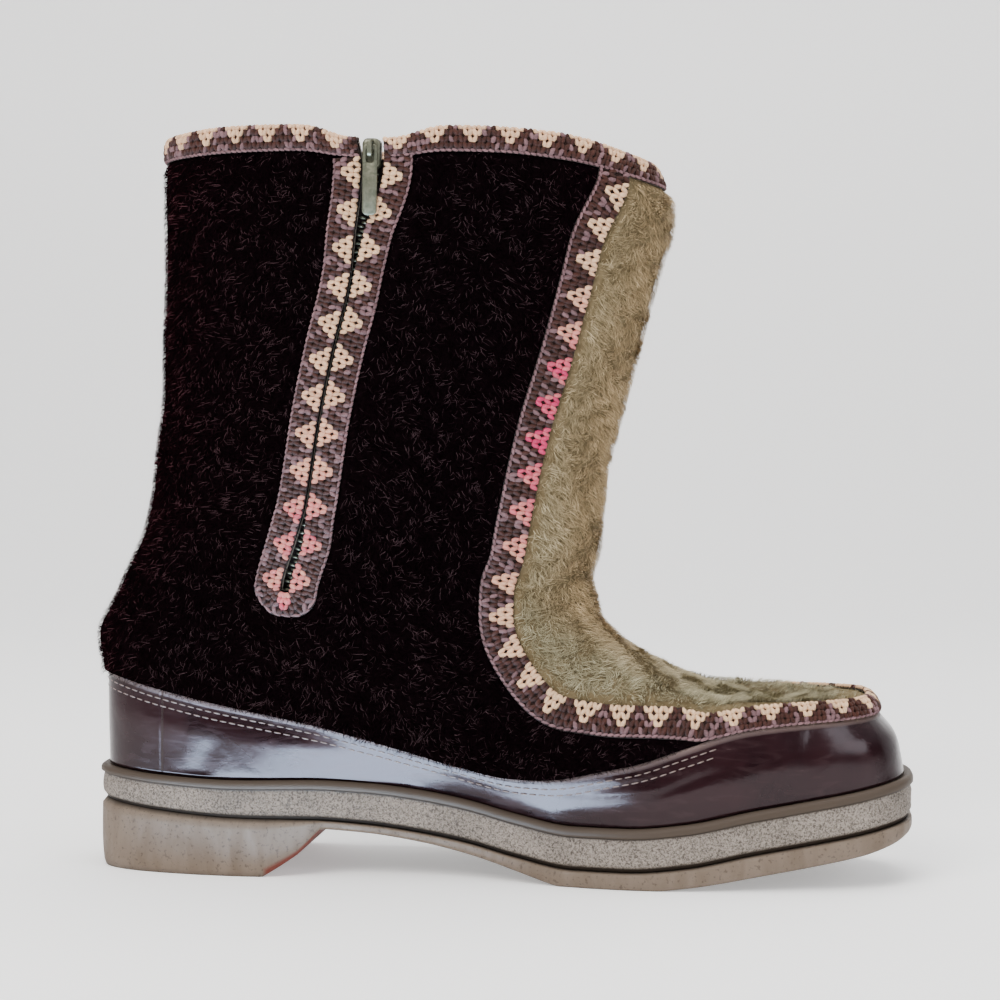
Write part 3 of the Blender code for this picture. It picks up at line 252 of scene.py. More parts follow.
# Links of the braids. A motif is four links long; a row lists its cream links, from the pale edge to the tip.
LINK_PITCH = 3.07 * MM
LINK_RADIUS = 0.90 * MM
LINK_ROWS = (0.12, 0.355, 0.59, 0.80)
LINK_REACH = 0.13
LINK_HALF = 0.44
LINK_TIP, LINK_FOOT = 0.40 * MM, 0.22 * MM       # height over the sheet
LINK_SPLIT = 0.05                # from a link's middle to its arms' tips, share of the pitch
LINK_SWAY = 0.04
LINK_END = 0.3                   # least way from a link's middle to the braid's end, share of the pitch
LINK_GIRTHS = (0.88, 1.1)        # share of LINK_RADIUS
LINK_SEED = 31
MAUVE_SHARE = 0.28
DARK_SHADES, PALE_SHADES, BEAD_SHADES, DYE_SHADES = (0.7, 1.1), (0.82, 1.08), (0.75, 1.35), (0.75, 1.2)
CREAM_LINKS = ((0, 1, 2), (0, 1), (1,), ())
MOTIF = 4
BEAD_PLACE = 0.95
BEAD_RADIUS = 0.56 * MM
BEADS = 6                        # in a motif
BEAD_HALF, BEAD_LEAN, BEAD_HEIGHT = 0.55, 0.03, 0.15 * MM
BRAID_SHEET = 1.0 * MM           # the sheet under the links, outside the skin
SHEET_DEPTH = 0.6 * MM
BRAID_STEP = 1.2 * MM
BRAID_SHARES = np.linspace(0.0, 1.0, 7)
BRAID_OVERLAP = 2 * GAP          # how far the long braids run in under the collar's
LEG_SAMPLES, TOE_SAMPLES = 160, 60
ZIP_LEG_SAMPLES, ZIP_BEND_SAMPLES = 130, 26
ZIP_NECK = 0.6 * MM              # from the slit's end to the bend's inner edge
SOFTENING = 9                    # samples that the panel braid's line is averaged over
LEAST_HALF_BRAID = 1.5 * MM
LEAST_RATE = 0.5
TOE_BRAID_SPAN = (0.72, 0.79)    # share of LENGTH over which the braid narrows towards the toe
# The collar's fold. drop: below the edge; offset: from the skin, in millimetres
COLLAR_OUTSIDE = ((0.35, 0.1), (0.9, 1.0), (2.2, 1.35), (3.6, 1.4), (5.0, 1.4), (6.5, 1.35), (8.0, 1.3))
COLLAR_INSIDE = ((0.35, -2.1), (0.9, -3.0), (2.2, -3.3), (3.6, -3.4), (5.0, -3.4), (6.5, -3.4), (8.0, -3.3))
# height of a place on the braid in millimetres; share of pink dye in its pale yarn
PANEL_DYE = (
    (60, 0.0), (95, 0.15), (108, 0.45), (140, 0.95), (168, 0.95), (185, 0.35), (205, 0.05), (250, 0.0),
)
ZIP_DYE = ((85, 0.9), (100, 0.55), (118, 0.75), (135, 0.35), (160, 0.15), (185, 0.05), (250, 0.0))
COLLAR_DYE = ((0, 0.05), (250, 0.05))

# Rounded strands. place: share of the length; girth: share of the radius
STRAND_SIDES = 6
STRAND_RINGS = ((0.12, 0.72), (0.50, 1.0), (0.88, 0.72))

# Stitches in the leather
STITCH_ROWS = (3.5 * MM, 6.0 * MM)
STITCH_PITCH = 3.2 * MM
STITCH_LENGTH = 2.5 * MM
STITCH_RADIUS = 0.24 * MM
STITCH_LIFT = 0.10 * MM
STITCH_SAMPLES = 900
STITCH_END = 0.765               # share of LENGTH where the rows run in under the braid

LAP_LINE = 26 * MM               # where the leather's ends lap, from the heel

# Zip teeth, and the slider's shares of SLIDER_HEIGHT below and above the pull's axis
TEETH_PITCH = 1.35 * MM
TEETH_RADIUS = 0.50 * MM
TEETH_GRIP = 0.35                # how far a tooth reaches past the middle, share of its half width
SLIDER_BELOW, SLIDER_ABOVE = 0.72, 0.28
SLIDER_BEVEL, PULL_BEVEL, BAIL_BEVEL = 0.7 * MM, 0.3 * MM, 0.25 * MM
SLIDER_SLOT = (0.10 * MM, -2.4 * MM, -2.2 * MM, 0.04 * MM)
BAIL_CORNER, BAIL_GAP_CORNER = 1.3 * MM, 0.7 * MM
BAIL_ROOT, BAIL_FLOOR = 0.4 * MM, 0.2 * MM
BAIL_BELOW = 1.6                 # share of PULL_CROSSBAR
PULL_CORNER = 0.3                # share of its width
CORNER_POINTS = 6

# Fur. The ground lies at a share of the pile. count: hairs in each piece; seeds: one for each piece
GROUND_SHARE = 0.5
HAIR_COUNT = 60000
HAIR_WIDTH = 0.17 * MM
DARK_HAIR = {"length": 3.2 * MM, "seeds": (61, 71)}
OLIVE_HAIR = {"length": 3.9 * MM, "seeds": (91,)}
HAIR_LENGTHS = (0.65, 1.2)       # share of the hair's length
SHORTER_AT_BRAID = 0.62
AREA_AT_BRAID = 1.15
TUFT_SIZE, SWIRL_SIZE, TINT_SIZE = 11 * MM, 26 * MM, 6 * MM
TINT_MIDDLE, TINT_WAVE, TINT_SPREAD = 0.5, 0.22, 0.24
ROOT_SINK = 0.2 * MM
HAIR_TAPER = 0.85                # the middle's width, share of the root's
HAIR_ALONG = (0.0, 0.0, 0.55, 0.55, 1.0)         # of a hair's five points
HAIR_FACES = ((0, 1, 3), (0, 3, 2), (2, 3, 4))
# How hairs lie: down the pile and how tufts change it; aside by swirls, by tufts and by chance
NAP, NAP_BY_TUFT = 0.60, 0.45
ASIDE_BY_SWIRL, ASIDE_BY_TUFT, ASIDE_BY_CHANCE = 0.60, 0.55, 0.60
# A hair's lower half: how it stands, by chance too, and leans. Its upper half: the same, and a turn aside
ROOT_STAND, ROOT_CHANCE, ROOT_LEAN = 0.62, 0.15, 0.75
TIP_STAND, TIP_LEAN, TIP_CHANCE, TIP_ASIDE = 0.15, 0.9, 0.3, 0.75
HAIR_TWIST = 0.4

# Colours, linear
CREAM = (0.86, 0.57, 0.35)
PINK = (0.68, 0.045, 0.15)
BROWN = (0.055, 0.016, 0.010)
MAUVE = (0.21, 0.115, 0.125)
STITCH_COLOUR = (0.23, 0.165, 0.145)
# Cloths. dark; light; size of the pattern
DARK_GROUND = ((0.0014, 0.0007, 0.0009), (0.0045, 0.0022, 0.0030), 2.5 * MM)
OLIVE_GROUND = ((0.095, 0.070, 0.036), (0.19, 0.148, 0.085), 3.0 * MM)
FLEECE = ((0.12, 0.10, 0.085), (0.34, 0.30, 0.26), 2.2 * MM)
BRAID_CLOTH = ((0.012, 0.005, 0.004), (0.035, 0.016, 0.012), 0.9 * MM)
FELT = ((0.16, 0.12, 0.085), (0.36, 0.29, 0.21), 1.6 * MM)
TAPE_CLOTH = ((0.010, 0.006, 0.006), (0.035, 0.022, 0.022), 0.8 * MM)
# Hairs. root; tip; pale hairs, which also stand for painted glints; from which tint on hairs are pale;
# painted shade tone of the sides; painted sheen tone of the ends, where the fur faces the toe and heel; shine
DARK_HAIR_TONES = (
    (0.0012, 0.0005, 0.0008), (0.0060, 0.0026, 0.0038), (0.062, 0.038, 0.042), 0.76,
    (0.95, 0.95, 1.0), (1.6, 1.0, 1.1), 0.0,
)
OLIVE_HAIR_TONES = (
    (0.120, 0.093, 0.054), (0.49, 0.41, 0.27), (0.66, 0.57, 0.40), 0.66,
    (0.82, 0.88, 0.84), (1.0, 0.86, 0.70), 0.10,
)

# Square lights. name; place; side; power; colour
LIGHTS = (
    ("key_light", (-0.55, -1.1, 1.15), 0.9, 27.0, (1.0, 0.97, 0.93)),
    ("side_light", (1.0, -0.75, 0.55), 0.6, 6.0, (0.88, 0.94, 1.0)),
    ("top_light", (0.1, 0.1, 1.5), 1.0, 20.0, (1.0, 0.98, 0.96)),
)
LIGHT_AIM = (0, 0, 0.1)
# Panel of light on the floor in front of the boot
LOW_LIGHT_SIZE = (0.22, 0.20)
LOW_LIGHT_PLACE = (-0.108, -0.158, 0.003)
LOW_LIGHT_POWER = 5.2
LOW_LIGHT_COLOUR = (0.55, 0.76, 1.0)
# Floor and backdrop
FLOOR_FRONT, FLOOR_DEPTH, FLOOR_WIDTH = -9.0, 1.6, 18.0
BACKDROP_HEIGHT, BACKDROP_BEND, BACKDROP_STEPS = 2.2, 0.5, 12
FLOOR_GLOW = 0.40
# The room. place from the floor up; colour
ROOM = (
    (0.0, (0.14, 0.10, 0.09)), (0.25, (0.22, 0.17, 0.155)), (0.55, (0.95, 0.96, 1.0)), (1.0, (1.0, 1.0, 1.0)),
)
ROOM_STRENGTH = 0.65

# Camera, from the photograph: its place beside the boot and the width of the view at the boot
VIEW_TURN = 6.0
VIEW_RISE = 1.4
VIEW_DISTANCE = 860 * MM
VIEW_WIDTH = 345 * MM
SENSOR = 36.0
NEAREST = 10 * MM


# Curves through tables

def cubic(x, places, values):
    """Monotone cubic through values at places; values may hold one row for each x."""
    x = np.clip(x, places[0], places[-1])
    steps = np.diff(places)
    rates = np.diff(values, axis=-1) / steps
    before, after = rates[..., :-1], rates[..., 1:]
    same_way = before * after > 0
    weight_a = 2 * steps[1:] + steps[:-1]
    weight_b = steps[1:] + 2 * steps[:-1]
    safe_before = np.where(same_way, before, 1.0)
    safe_after = np.where(same_way, after, 1.0)
    middle = (weight_a + weight_b) / (weight_a / safe_before + weight_b / safe_after)
    middle = np.where(same_way, middle, 0.0)
    slopes = np.concatenate([rates[..., :1], middle, rates[..., -1:]], axis=-1)
    k = np.clip(np.searchsorted(places, x, side="right") - 1, 0, len(places) - 2)
    h = places[k + 1] - places[k]
    u = (x - places[k]) / h
    pick = (k,) if values.ndim == 1 else (np.arange(len(x)), k)
    pick_next = (k + 1,) if values.ndim == 1 else (np.arange(len(x)), k + 1)
    start, end = values[pick], values[pick_next]
    start_slope, end_slope = slopes[pick], slopes[pick_next]
    return (
        start * (1 + 2 * u) * (1 - u) ** 2 + h * start_slope * u * (1 - u) ** 2
        + end * u * u * (3 - 2 * u) + h * end_slope * u * u * (u - 1)
    )


def table_curve(table, x):
    """Monotone cubic through a two-column table."""
    columns = np.array(table)
    return cubic(np.asarray(x, dtype=float), columns[:, 0], columns[:, 1])


def smooth(share):
    """A soft step from 0 to 1."""
    share = np.clip(share, 0.0, 1.0)
    return share * share * (3 - 2 * share)


def unit(vectors):
    """Vectors of length one."""
    return vectors / np.maximum(np.linalg.norm(vectors, axis=-1, keepdims=True), 1e-12)


def run_along(points):
    """How far along a line each of its points lies."""
    return np.concatenate([[0.0], np.cumsum(np.linalg.norm(np.diff(points, axis=0), axis=1))])


def waves(points, size, seed, count=8):
    """Smooth random values, mostly between -1 and 1, that change over a given size."""
    rng = np.random.default_rng(seed)
    directions = unit(rng.normal(size=(count, 3))) * rng.uniform(0.6, 1.5, (count, 1))
    phases = rng.uniform(0, 2 * math.pi, count)
    return np.sin(points @ directions.T * (2 * math.pi / size) + phases).sum(axis=-1) * math.sqrt(1 / count)


# The boot's skin

def sole_top(x):
    """Height of the sole's upper edge at a place along the boot."""
    along = np.asarray(x) / LENGTH
    heel, toe = table_curve(LIFT_TABLE, along), table_curve(SPRING_TABLE, along)
    return SOLE_STACK + HEEL_LIFT * heel + TOE_SPRING * toe


def groove_height(x):
    """Height of the groove between midsole and outsole."""
    return sole_top(x) - MIDSOLE_DEPTH * table_curve(BAND_TABLE, np.asarray(x) / LENGTH)


def sole_bottom(x):
    """Height of the tread: flat under the heel block and the ball, raised at the waist and the toe."""
    along = np.asarray(x) / LENGTH
    tread = groove_height(x) - OUTSOLE_DEPTH * table_curve(TREAD_TABLE, along)
    opened = np.interp(along, *np.array(BREAST_TABLE).T)
    return np.maximum(tread, 0.0) * opened


def ring_values(level):
    """The ring table's columns at each level, by name."""
    ring = np.stack([cubic(level, LEVELS, RINGS[:, column]) for column in range(RINGS.shape[1])], axis=1)
    return {name: ring[:, columns] for name, columns in RING_COLUMNS.items()}


def collar_dip(x, y, level):
    """How far the collar drops beside the zip's top."""
    near_zip = np.exp(-((x - ZIP_LINE[-1][0] * LENGTH) / COLLAR_DIP_WIDTH) ** 4)
    near_top = np.clip((level - COLLAR_DIP_FROM) / COLLAR_DIP_SPAN, 0.0, 1.0) ** 2
    return COLLAR_DIP * near_zip * near_top * (y < 0)


def shell(turn, level):
    """Points of the skin. turn is 0 at the toe and pi at the heel, positive on the lateral side."""
    turn, level = (part.ravel() for part in np.broadcast_arrays(turn, level))
    ring = ring_values(level)
    share = (1 + np.cos(turn)) / 2
    x = LENGTH * (ring["back"] + (ring["front"] - ring["back"]) * share)
    rise = cubic(share, STATIONS, ring["rise"])
    z = SOLE_STACK + UPPER_HEIGHT * rise + ring["follow"] * (sole_top(x) - SOLE_STACK)
    half = BALL_WIDTH * cubic(share, WIDTH_STATIONS, ring["widths"])
    fade = 1 - np.clip((level - SWING_FADE[0]) / (SWING_FADE[1] - SWING_FADE[0]), 0.0, 1.0)
    centre = BALL_WIDTH * table_curve(CENTRE_TABLE, x / LENGTH) * fade
    sine = np.sin(turn)
    y = centre + half * np.sign(sine) * np.abs(sine) ** ring["round"]
    return np.stack([x, y, z - collar_dip(x, y, level)], axis=1)


def skin_slopes(turn, level):
    """How the skin's point moves with turn and with level."""
    d_turn, d_level = 0.03, 0.006
    level = np.clip(level, 0.0, 1.0)
    low, high = np.clip(level - d_level, 0.0, 1.0), np.clip(level + d_level, 0.0, 1.0)
    by_turn = (shell(turn + d_turn, level) - shell(turn - d_turn, level)) / (2 * d_turn)
    by_level = (shell(turn, high) - shell(turn, low)) / (high - low)[:, None]
    return by_turn, by_level


def skin_normal(turn, level):
    """Outward direction of the skin."""
    by_turn, by_level = skin_slopes(turn, level)
    return unit(np.cross(by_turn, by_level))


def skin(turn, level, offset):
    """Points at an offset outside the skin."""
    turn, level, offset = (np.asarray(part, dtype=float) for part in (turn, level, offset))
    shape = np.broadcast_shapes(turn.shape, level.shape, offset.shape)
    turn, level, offset = (np.broadcast_to(part, shape).ravel() for part in (turn, level, offset))
    points = shell(turn, level) + skin_normal(turn, level) * offset[:, None]
    return points.reshape(shape + (3,))


def turn_at(x, level, side):
    """The turn of the point at x on a ring. side is -1 for medial and 1 for lateral."""
    ring = ring_values(np.atleast_1d(level))
    share = (np.atleast_1d(x) / LENGTH - ring["back"]) / (ring["front"] - ring["back"])
    return side * np.arccos(np.clip(2 * share - 1, -1.0, 1.0))


def level_at(along, rise, side):
    """The level of the skin's point that the side view shows at a place."""
    x, z = along * LENGTH, SOLE_STACK + rise * UPPER_HEIGHT
    low, high = 0.0, 1.0
    halvings = 30
    for _ in range(halvings):
        middle = (low + high) / 2
        if shell(turn_at(x, middle, side), middle)[0, 2] > z:
            high = middle
        else:
            low = middle
    return (low + high) / 2


def walk(turn, level, direction, distance):
    """Move along the skin by a distance towards a direction, in small steps."""
    steps = 6
    for _ in range(steps):
        by_turn, by_level = skin_slopes(turn, level)
        a = np.sum(by_turn * by_turn, axis=1)
        b = np.sum(by_turn * by_level, axis=1)
        c = np.sum(by_level * by_level, axis=1)
        p = np.sum(by_turn * direction, axis=1)
        q = np.sum(by_level * direction, axis=1)
        scale = distance / steps / (a * c - b * b)
        turn = turn + (c * p - b * q) * scale
        level = level + (a * q - b * p) * scale
    return turn, level


class SideLine:
    """A line on one side of the boot, and lines that run beside it."""

    def __init__(self, table, side):
        levels = [level_at(along, rise, side) for along, rise in table]
        turns = [turn_at(along * LENGTH, level, side)[0] for (along, _), level in zip(table, levels)]
        order = np.argsort(levels)
        self.levels, self.turns = np.array(levels)[order], np.array(turns)[order]
        self.side = side

    def turn(self, level):
        """The line's turn at each level."""
        return cubic(np.atleast_1d(np.asarray(level, dtype=float)), self.levels, self.turns)

    def beside(self, level, distance):
        """Turns, at each level, of the line that runs a distance in front of this one."""
        samples = np.linspace(self.levels[0], 1.0, LINE_SAMPLES)
        turns = self.turn(samples)
        spread = distance(samples) if callable(distance) else distance
        points = shell(turns, samples)
        tangent = unit(np.gradient(points, axis=0))
        forward = unit(np.cross(tangent, skin_normal(turns, samples))) * -self.side
        moved_turns, moved_levels = walk(turns, samples, forward, spread)
        order = np.argsort(moved_levels)
        return np.interp(level, moved_levels[order], moved_turns[order])

    def moved(self, level, distance):
        """Turns and levels of points that start on the line and move forward, each by its own distance."""
        step = 0.004
        turns = self.turn(level)
        above, below = (shell(self.turn(near), near) for near in (level + step, level - step))
        tangent = unit(above - below)
        forward = unit(np.cross(tangent, skin_normal(turns, level))) * -self.side
        return walk(turns, level, forward, distance)


# The net of rows and columns that the upper's pieces share

def zip_half_opening(level):
    """Half the gap between the zip's edges."""
    return ZIP_BRAID_WIDTH * np.interp(level, *np.array(ZIP_OPENING).T)


def refined(knots, step):
    """Values with evenly spaced ones put between them, none further apart than a step."""
    values = [knots[0]]
    for start, end in zip(knots, knots[1:]):
        count = max(1, math.ceil((end - start) / step - 0.01))
        values += [start + (end - start) * number / count for number in range(1, count + 1)]
    return np.array(values)


def even_turns(start, end, cells, level):
    """Turns between start and end, evenly spaced along the ring."""
    fine = np.linspace(start, end, RING_SAMPLES)
    run = run_along(shell(fine, np.full(fine.shape, level)))
    return np.interp(np.linspace(0, run[-1], cells + 1), run, fine)


class Net:
    """Rows of constant level, and columns that follow the front seams and the zip, from turn 0 to 2 pi."""

    def __init__(self):
        self.seams = {side: SideLine(SEAM_LINE, side) for side in (1, -1)}
        self.zip = SideLine(ZIP_LINE, -1)
        self.loop_level = level_at(*LOOP_BOTTOM, -1)
        self.slit_level = level_at(*SLIT_BOTTOM, -1)
        self.collar_level = 1 - COLLAR_BRAID_DROP / UPPER_HEIGHT
        self.top_level = 1 - (BRAID_THICKNESS + GAP) / UPPER_HEIGHT
        knots = (0.0, FOXING_LEVEL, TOE_BRAID_LEVEL, self.loop_level, self.slit_level, self.collar_level,
                 self.top_level)
        self.levels = refined(knots, ROW_STEP / UPPER_HEIGHT)
        named = [int(np.argmin(np.abs(self.levels - level))) for level in knots]
        _, self.foxing, self.toe_braid, self.loop, self.slit, self.collar, self.top = named
        self.set_columns()

    def seam_band(self, seam):
        """Columns across one seam's braid and the fur's shoulders, dark side first."""
        reach = PANEL_BRAID_WIDTH / 2 + PILE_SHOULDER
        offsets = refined((-reach, 0.0, reach), SEAM_COLUMN_STEP)
        band = np.array([seam.beside(self.levels, offset) for offset in offsets])
        source = self.toe_braid
        edge = band[int(np.argmin(np.abs(offsets + PANEL_BRAID_WIDTH / 2)))]
        xs = shell(band[:, source], self.levels[source])[:, 0]
        lower, upper = (shell(edge[row], self.levels[row])[0, 0] for row in (self.foxing, source))
        slide = lower - upper
        for row in range(source):
            band[:, row] = turn_at(xs + slide, self.levels[row], seam.side)
        return band, offsets

    def zip_band(self):
        """Columns across the zip's braid, from its back to its front, and how far each lies from the slit."""
        def outer(level):
            up = (level - self.loop_level) / (self.slit_level - self.loop_level)
            return ZIP_BRAID_WIDTH * np.interp(up, *np.array(LOOP_ROUND).T)

        shares = np.array((0.0, 0.33, 0.67, 1.0))
        shoulders = np.array((0.33, 0.67, 1.0))
        distances = []
        for side in (-1, 1):
            across = [lambda level, k=k: side * (zip_half_opening(level) + outer(level) * k) for k in shares]
            across += [lambda level, k=k: side * (zip_half_opening(level) + outer(level) + PILE_SHOULDER * k)
                       for k in shoulders]
            band = [self.zip.beside(self.levels, distance) for distance in across]
            distances.append(band[::side])
        band = np.array(distances[0] + distances[1])
        xs = shell(band[:, self.loop], self.levels[self.loop])[:, 0]
        for row in range(self.loop):
            band[:, row] = turn_at(xs, self.levels[row], -1)
        covered = np.concatenate([1 - shoulders[::-1], np.ones(2 * len(shares)), 1 - shoulders])
        return band, covered

    def set_columns(self):
        """Turns of every column, and how much of each point a braid presses flat."""
        lateral, seam_offsets = self.seam_band(self.seams[1])
        medial, _ = self.seam_band(self.seams[-1])
        lateral, medial = lateral[::-1], medial + 2 * math.pi
        zipped, zip_cover = self.zip_band()
        zipped = zipped + 2 * math.pi
        row = len(self.levels) // 2
        middle = self.levels[row]
        spans = ((0.0, lateral[0, row]), (lateral[-1, row], math.pi), (math.pi, zipped[0, row]),
                 (zipped[-1, row], medial[0, row]), (medial[-1, row], 2 * math.pi))
        cells = []
        for start, end in spans:
            line = shell(np.linspace(start, end, STRETCH_SAMPLES), middle)
            cells.append(max(LEAST_CELLS, round(run_along(line)[-1] / COLUMN_STEP)))
        seam_cover = 1 - smooth((np.abs(seam_offsets) - PANEL_BRAID_WIDTH / 2) / PILE_SHOULDER)
        self.build(lateral, zipped, medial, seam_cover, zip_cover, cells)

    def build(self, lateral, zipped, medial, seam_cover, zip_cover, cells):
        """Put the bands and the even stretches between them together."""
        table = []
        for row, level in enumerate(self.levels):
            line = list(even_turns(0.0, lateral[0, row], cells[0], level)[:-1])
            line += list(lateral[:, row])
            line += list(even_turns(lateral[-1, row], math.pi, cells[1], level)[1:-1])
            line += list(even_turns(math.pi, zipped[0, row], cells[2], level)[:-1])
            line += list(zipped[:, row])
            line += list(even_turns(zipped[-1, row], medial[0, row], cells[3], level)[1:-1])
            line += list(medial[:, row])
            line += list(even_turns(medial[-1, row], 2 * math.pi, cells[4], level)[1:])
            table.append(line)
        self.turns = np.array(table)
        seam_count, zip_count = len(lateral), len(zipped)
        lateral_first = cells[0]
        zip_first = lateral_first + seam_count + cells[1] - 1 + cells[2]
        medial_first = zip_first + zip_count + cells[3] - 1
        self.columns = self.turns.shape[1] - 1
        self.lateral_centre = lateral_first + seam_count // 2
        self.medial_centre = medial_first + seam_count // 2
        self.slit_column = zip_first + zip_count // 2 - 1
        cover = np.zeros(self.turns.shape)
        cover[:, lateral_first:lateral_first + seam_count] = seam_cover[::-1]
        cover[:, medial_first:medial_first + seam_count] = seam_cover
        above_loop = smooth((self.levels - self.loop_level) * UPPER_HEIGHT / PILE_SHOULDER + 1)[:, None]
        cover[:, zip_first:zip_first + zip_count] = smooth(zip_cover)[None, :] * above_loop
        below_collar = (self.collar_level - self.levels) * UPPER_HEIGHT / PILE_SHOULDER
        cover = np.maximum(cover, 1 - smooth(below_collar)[:, None])
        over_toe = (self.levels - TOE_BRAID_LEVEL) * UPPER_HEIGHT / PILE_SHOULDER
        toe_cover = 1 - smooth(over_toe)[:, None]
        self.olive = np.zeros(self.turns.shape, dtype=bool)
        self.olive[:, :self.lateral_centre] = True
        self.olive[:, self.medial_centre:] = True
        in_toe = np.zeros(self.turns.shape, dtype=bool)
        in_toe[:, :lateral_first + seam_count] = True
        in_toe[:, medial_first:] = True
        self.cover = np.where(in_toe, np.maximum(cover, toe_cover), cover)

    def cells(self, low_row, high_row, olive=None):
        """A mask of cells between two rows, of one colour or all, without the zip's slit."""
        mask = np.zeros((len(self.levels) - 1, self.columns), dtype=bool)
        mask[low_row:high_row] = True
        mask[self.slit:, self.slit_column] = False
        if olive is not None:
            mask &= self.olive[:-1, :-1] == olive
        return mask


# Meshes

def frame_shift():
    """From the boot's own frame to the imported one, found at the midsole's toe and sides."""
    low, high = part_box("midsole")
    loop = sole_loop(SOLE_LIP)
    middle = (low[1] + high[1]) / 2 - (loop[:, 1].min() + loop[:, 1].max()) / 2
    return np.array([high[0] - loop[:, 0].max(), middle, 0.0])


def linked(name, data):
    """An object of the scene."""
    made = bpy.data.objects.new(name, data)
    bpy.context.scene.collection.objects.link(made)
    return made


def mesh_object(name, points, faces, material, body="boot"):
    """A smooth object from points and arrays of faces, riding on a body."""
    groups = [np.asarray(group, dtype=np.int32) for group in faces if len(group)]
    corners = np.concatenate([group.ravel() for group in groups])
    sizes = np.concatenate([np.full(len(group), group.shape[1]) for group in groups])
    starts = np.concatenate([[0], np.cumsum(sizes)[:-1]]).astype(np.int32)
    mesh = bpy.data.meshes.new(name)
    mesh.vertices.add(len(points))
    mesh.vertices.foreach_set("co", (points + SHIFT).astype(np.float32).ravel())
    mesh.loops.add(len(corners))
    mesh.loops.foreach_set("vertex_index", corners)
    mesh.polygons.add(len(sizes))
    mesh.polygons.foreach_set("loop_start", starts)
    mesh.update(calc_edges=True)
    mesh.shade_smooth()
    mesh.materials.append(material)
    made = linked(name, mesh)
    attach(made, body)
    return made


def paint(made, name, values):
    """Store a colour, or a single value, at every point of an object."""
    values = np.asarray(values, dtype=np.float32)
    if values.ndim == 1:
        made.data.attributes.new(name, "FLOAT", "POINT").data.foreach_set("value", values)
        return
    colours = np.ones((len(values), 4), dtype=np.float32)
    colours[:, :3] = values
    made.data.attributes.new(name, "FLOAT_COLOR", "POINT").data.foreach_set("color", colours.ravel())


def creases(points, table=CREASES):
    """How far each point moves outward for the listed troughs and ridges."""
    moved = np.zeros(points.shape[:-1])
    for along, rise, lean, run, spread, depth, side in table:
        dx = points[..., 0] - along * LENGTH
        dz = points[..., 2] - SOLE_STACK - rise * UPPER_HEIGHT
        c, s = math.cos(math.radians(lean)), math.sin(math.radians(lean))
        lengthwise, across = (dx * c + dz * s) / (run * MM), (dz * c - dx * s) / (spread * MM)
        faces = smooth(0.5 + side * points[..., 1] / SIDE_FADE) if side else 1.0
        moved += depth * MM * np.exp(-lengthwise ** 4 - across ** 2) * faces
    return moved


def ring_quads(low, high, count):
    """Quads between two closed rings of points whose numbers begin at low and at high."""
    ids = np.arange(count)
    after = (ids + 1) % count
    return np.stack([low + ids, low + after, high + after, high + ids], axis=1)


def plump(starts, ends, out, radius):
    """Points and faces of closed rounded strands, one from each start to its end."""
    axis = ends - starts
    side = unit(np.cross(axis, out))
    up = unit(np.cross(side, axis))
    girth = np.broadcast_to(radius, len(starts))[:, None]
    rings = [starts[:, None]]
    angles = np.arange(STRAND_SIDES) * 2 * math.pi / STRAND_SIDES
    for place, share in STRAND_RINGS:
        centre = starts + axis * place
        ring = [centre + (side * math.cos(a) + up * math.sin(a)) * girth * share for a in angles]
        rings.append(np.stack(ring, axis=1))
    rings.append(ends[:, None])
    points = np.concatenate(rings, axis=1)
    size = points.shape[1]
    around = np.arange(STRAND_SIDES)
    after = (around + 1) % STRAND_SIDES
    starts_of_rings = 1 + np.arange(len(STRAND_RINGS)) * STRAND_SIDES
    quads = [ring_quads(low, low + STRAND_SIDES, STRAND_SIDES) for low in starts_of_rings[:-1]]
    last = starts_of_rings[-1]
    caps = np.concatenate([
        np.stack([around * 0, 1 + after, 1 + around], axis=1),
        np.stack([around * 0 + size - 1, last + around, last + after], axis=1),
    ])
    first = np.arange(len(starts))[:, None, None] * size
    faces = [(caps[None] + first).reshape(-1, 3), (np.concatenate(quads)[None] + first).reshape(-1, 4)]
    return points.reshape(-1, 3), faces, size


def gathered(parts):
    """One set of points and faces from several parts that begin with theirs."""
    points, triangles, quads, start = [], [], [], 0
    for some_points, faces, *_ in parts:
        points.append(some_points)
        for group in faces:
            (triangles if group.shape[1] == 3 else quads).append(group + start)
        start += len(some_points)
    faces = [np.concatenate(group) for group in (triangles, quads) if group]
    return np.concatenate(points), faces


def plate(outside, hole, thickness, bevel, place):
    """A plate with rounded edges and a hole, drawn across and up, half its thickness to each side."""
    outside, hole = np.array(outside), np.array(hole)
    half = thickness / 2
    loops = []
    for loop, sign in ((outside, -1), (hole, 1)):
        centre = loop.mean(axis=0)
        inward = unit(loop - centre) * sign
        cut = bevel * BEVEL_ROUND
        profile = ((bevel, -half), (cut, -half + cut), (0.0, -half + bevel),
                   (0.0, half - bevel), (cut, half - cut), (bevel, half))
        if sign == 1:
            profile = profile[::-1]
        for inset, height in profile:
            loops.append(np.column_stack([loop + inward * inset, np.full(len(loop), height)]))
    count = len(outside)
    starts = np.arange(len(loops)) * count
    faces = [ring_quads(low, high, count) for low, high in zip(starts, np.roll(starts, -1))]
    flat = np.concatenate(loops)
    point, across, up, out = place
    return point + flat[:, :1] * across + flat[:, 1:2] * up + flat[:, 2:] * out, [np.concatenate(faces)]


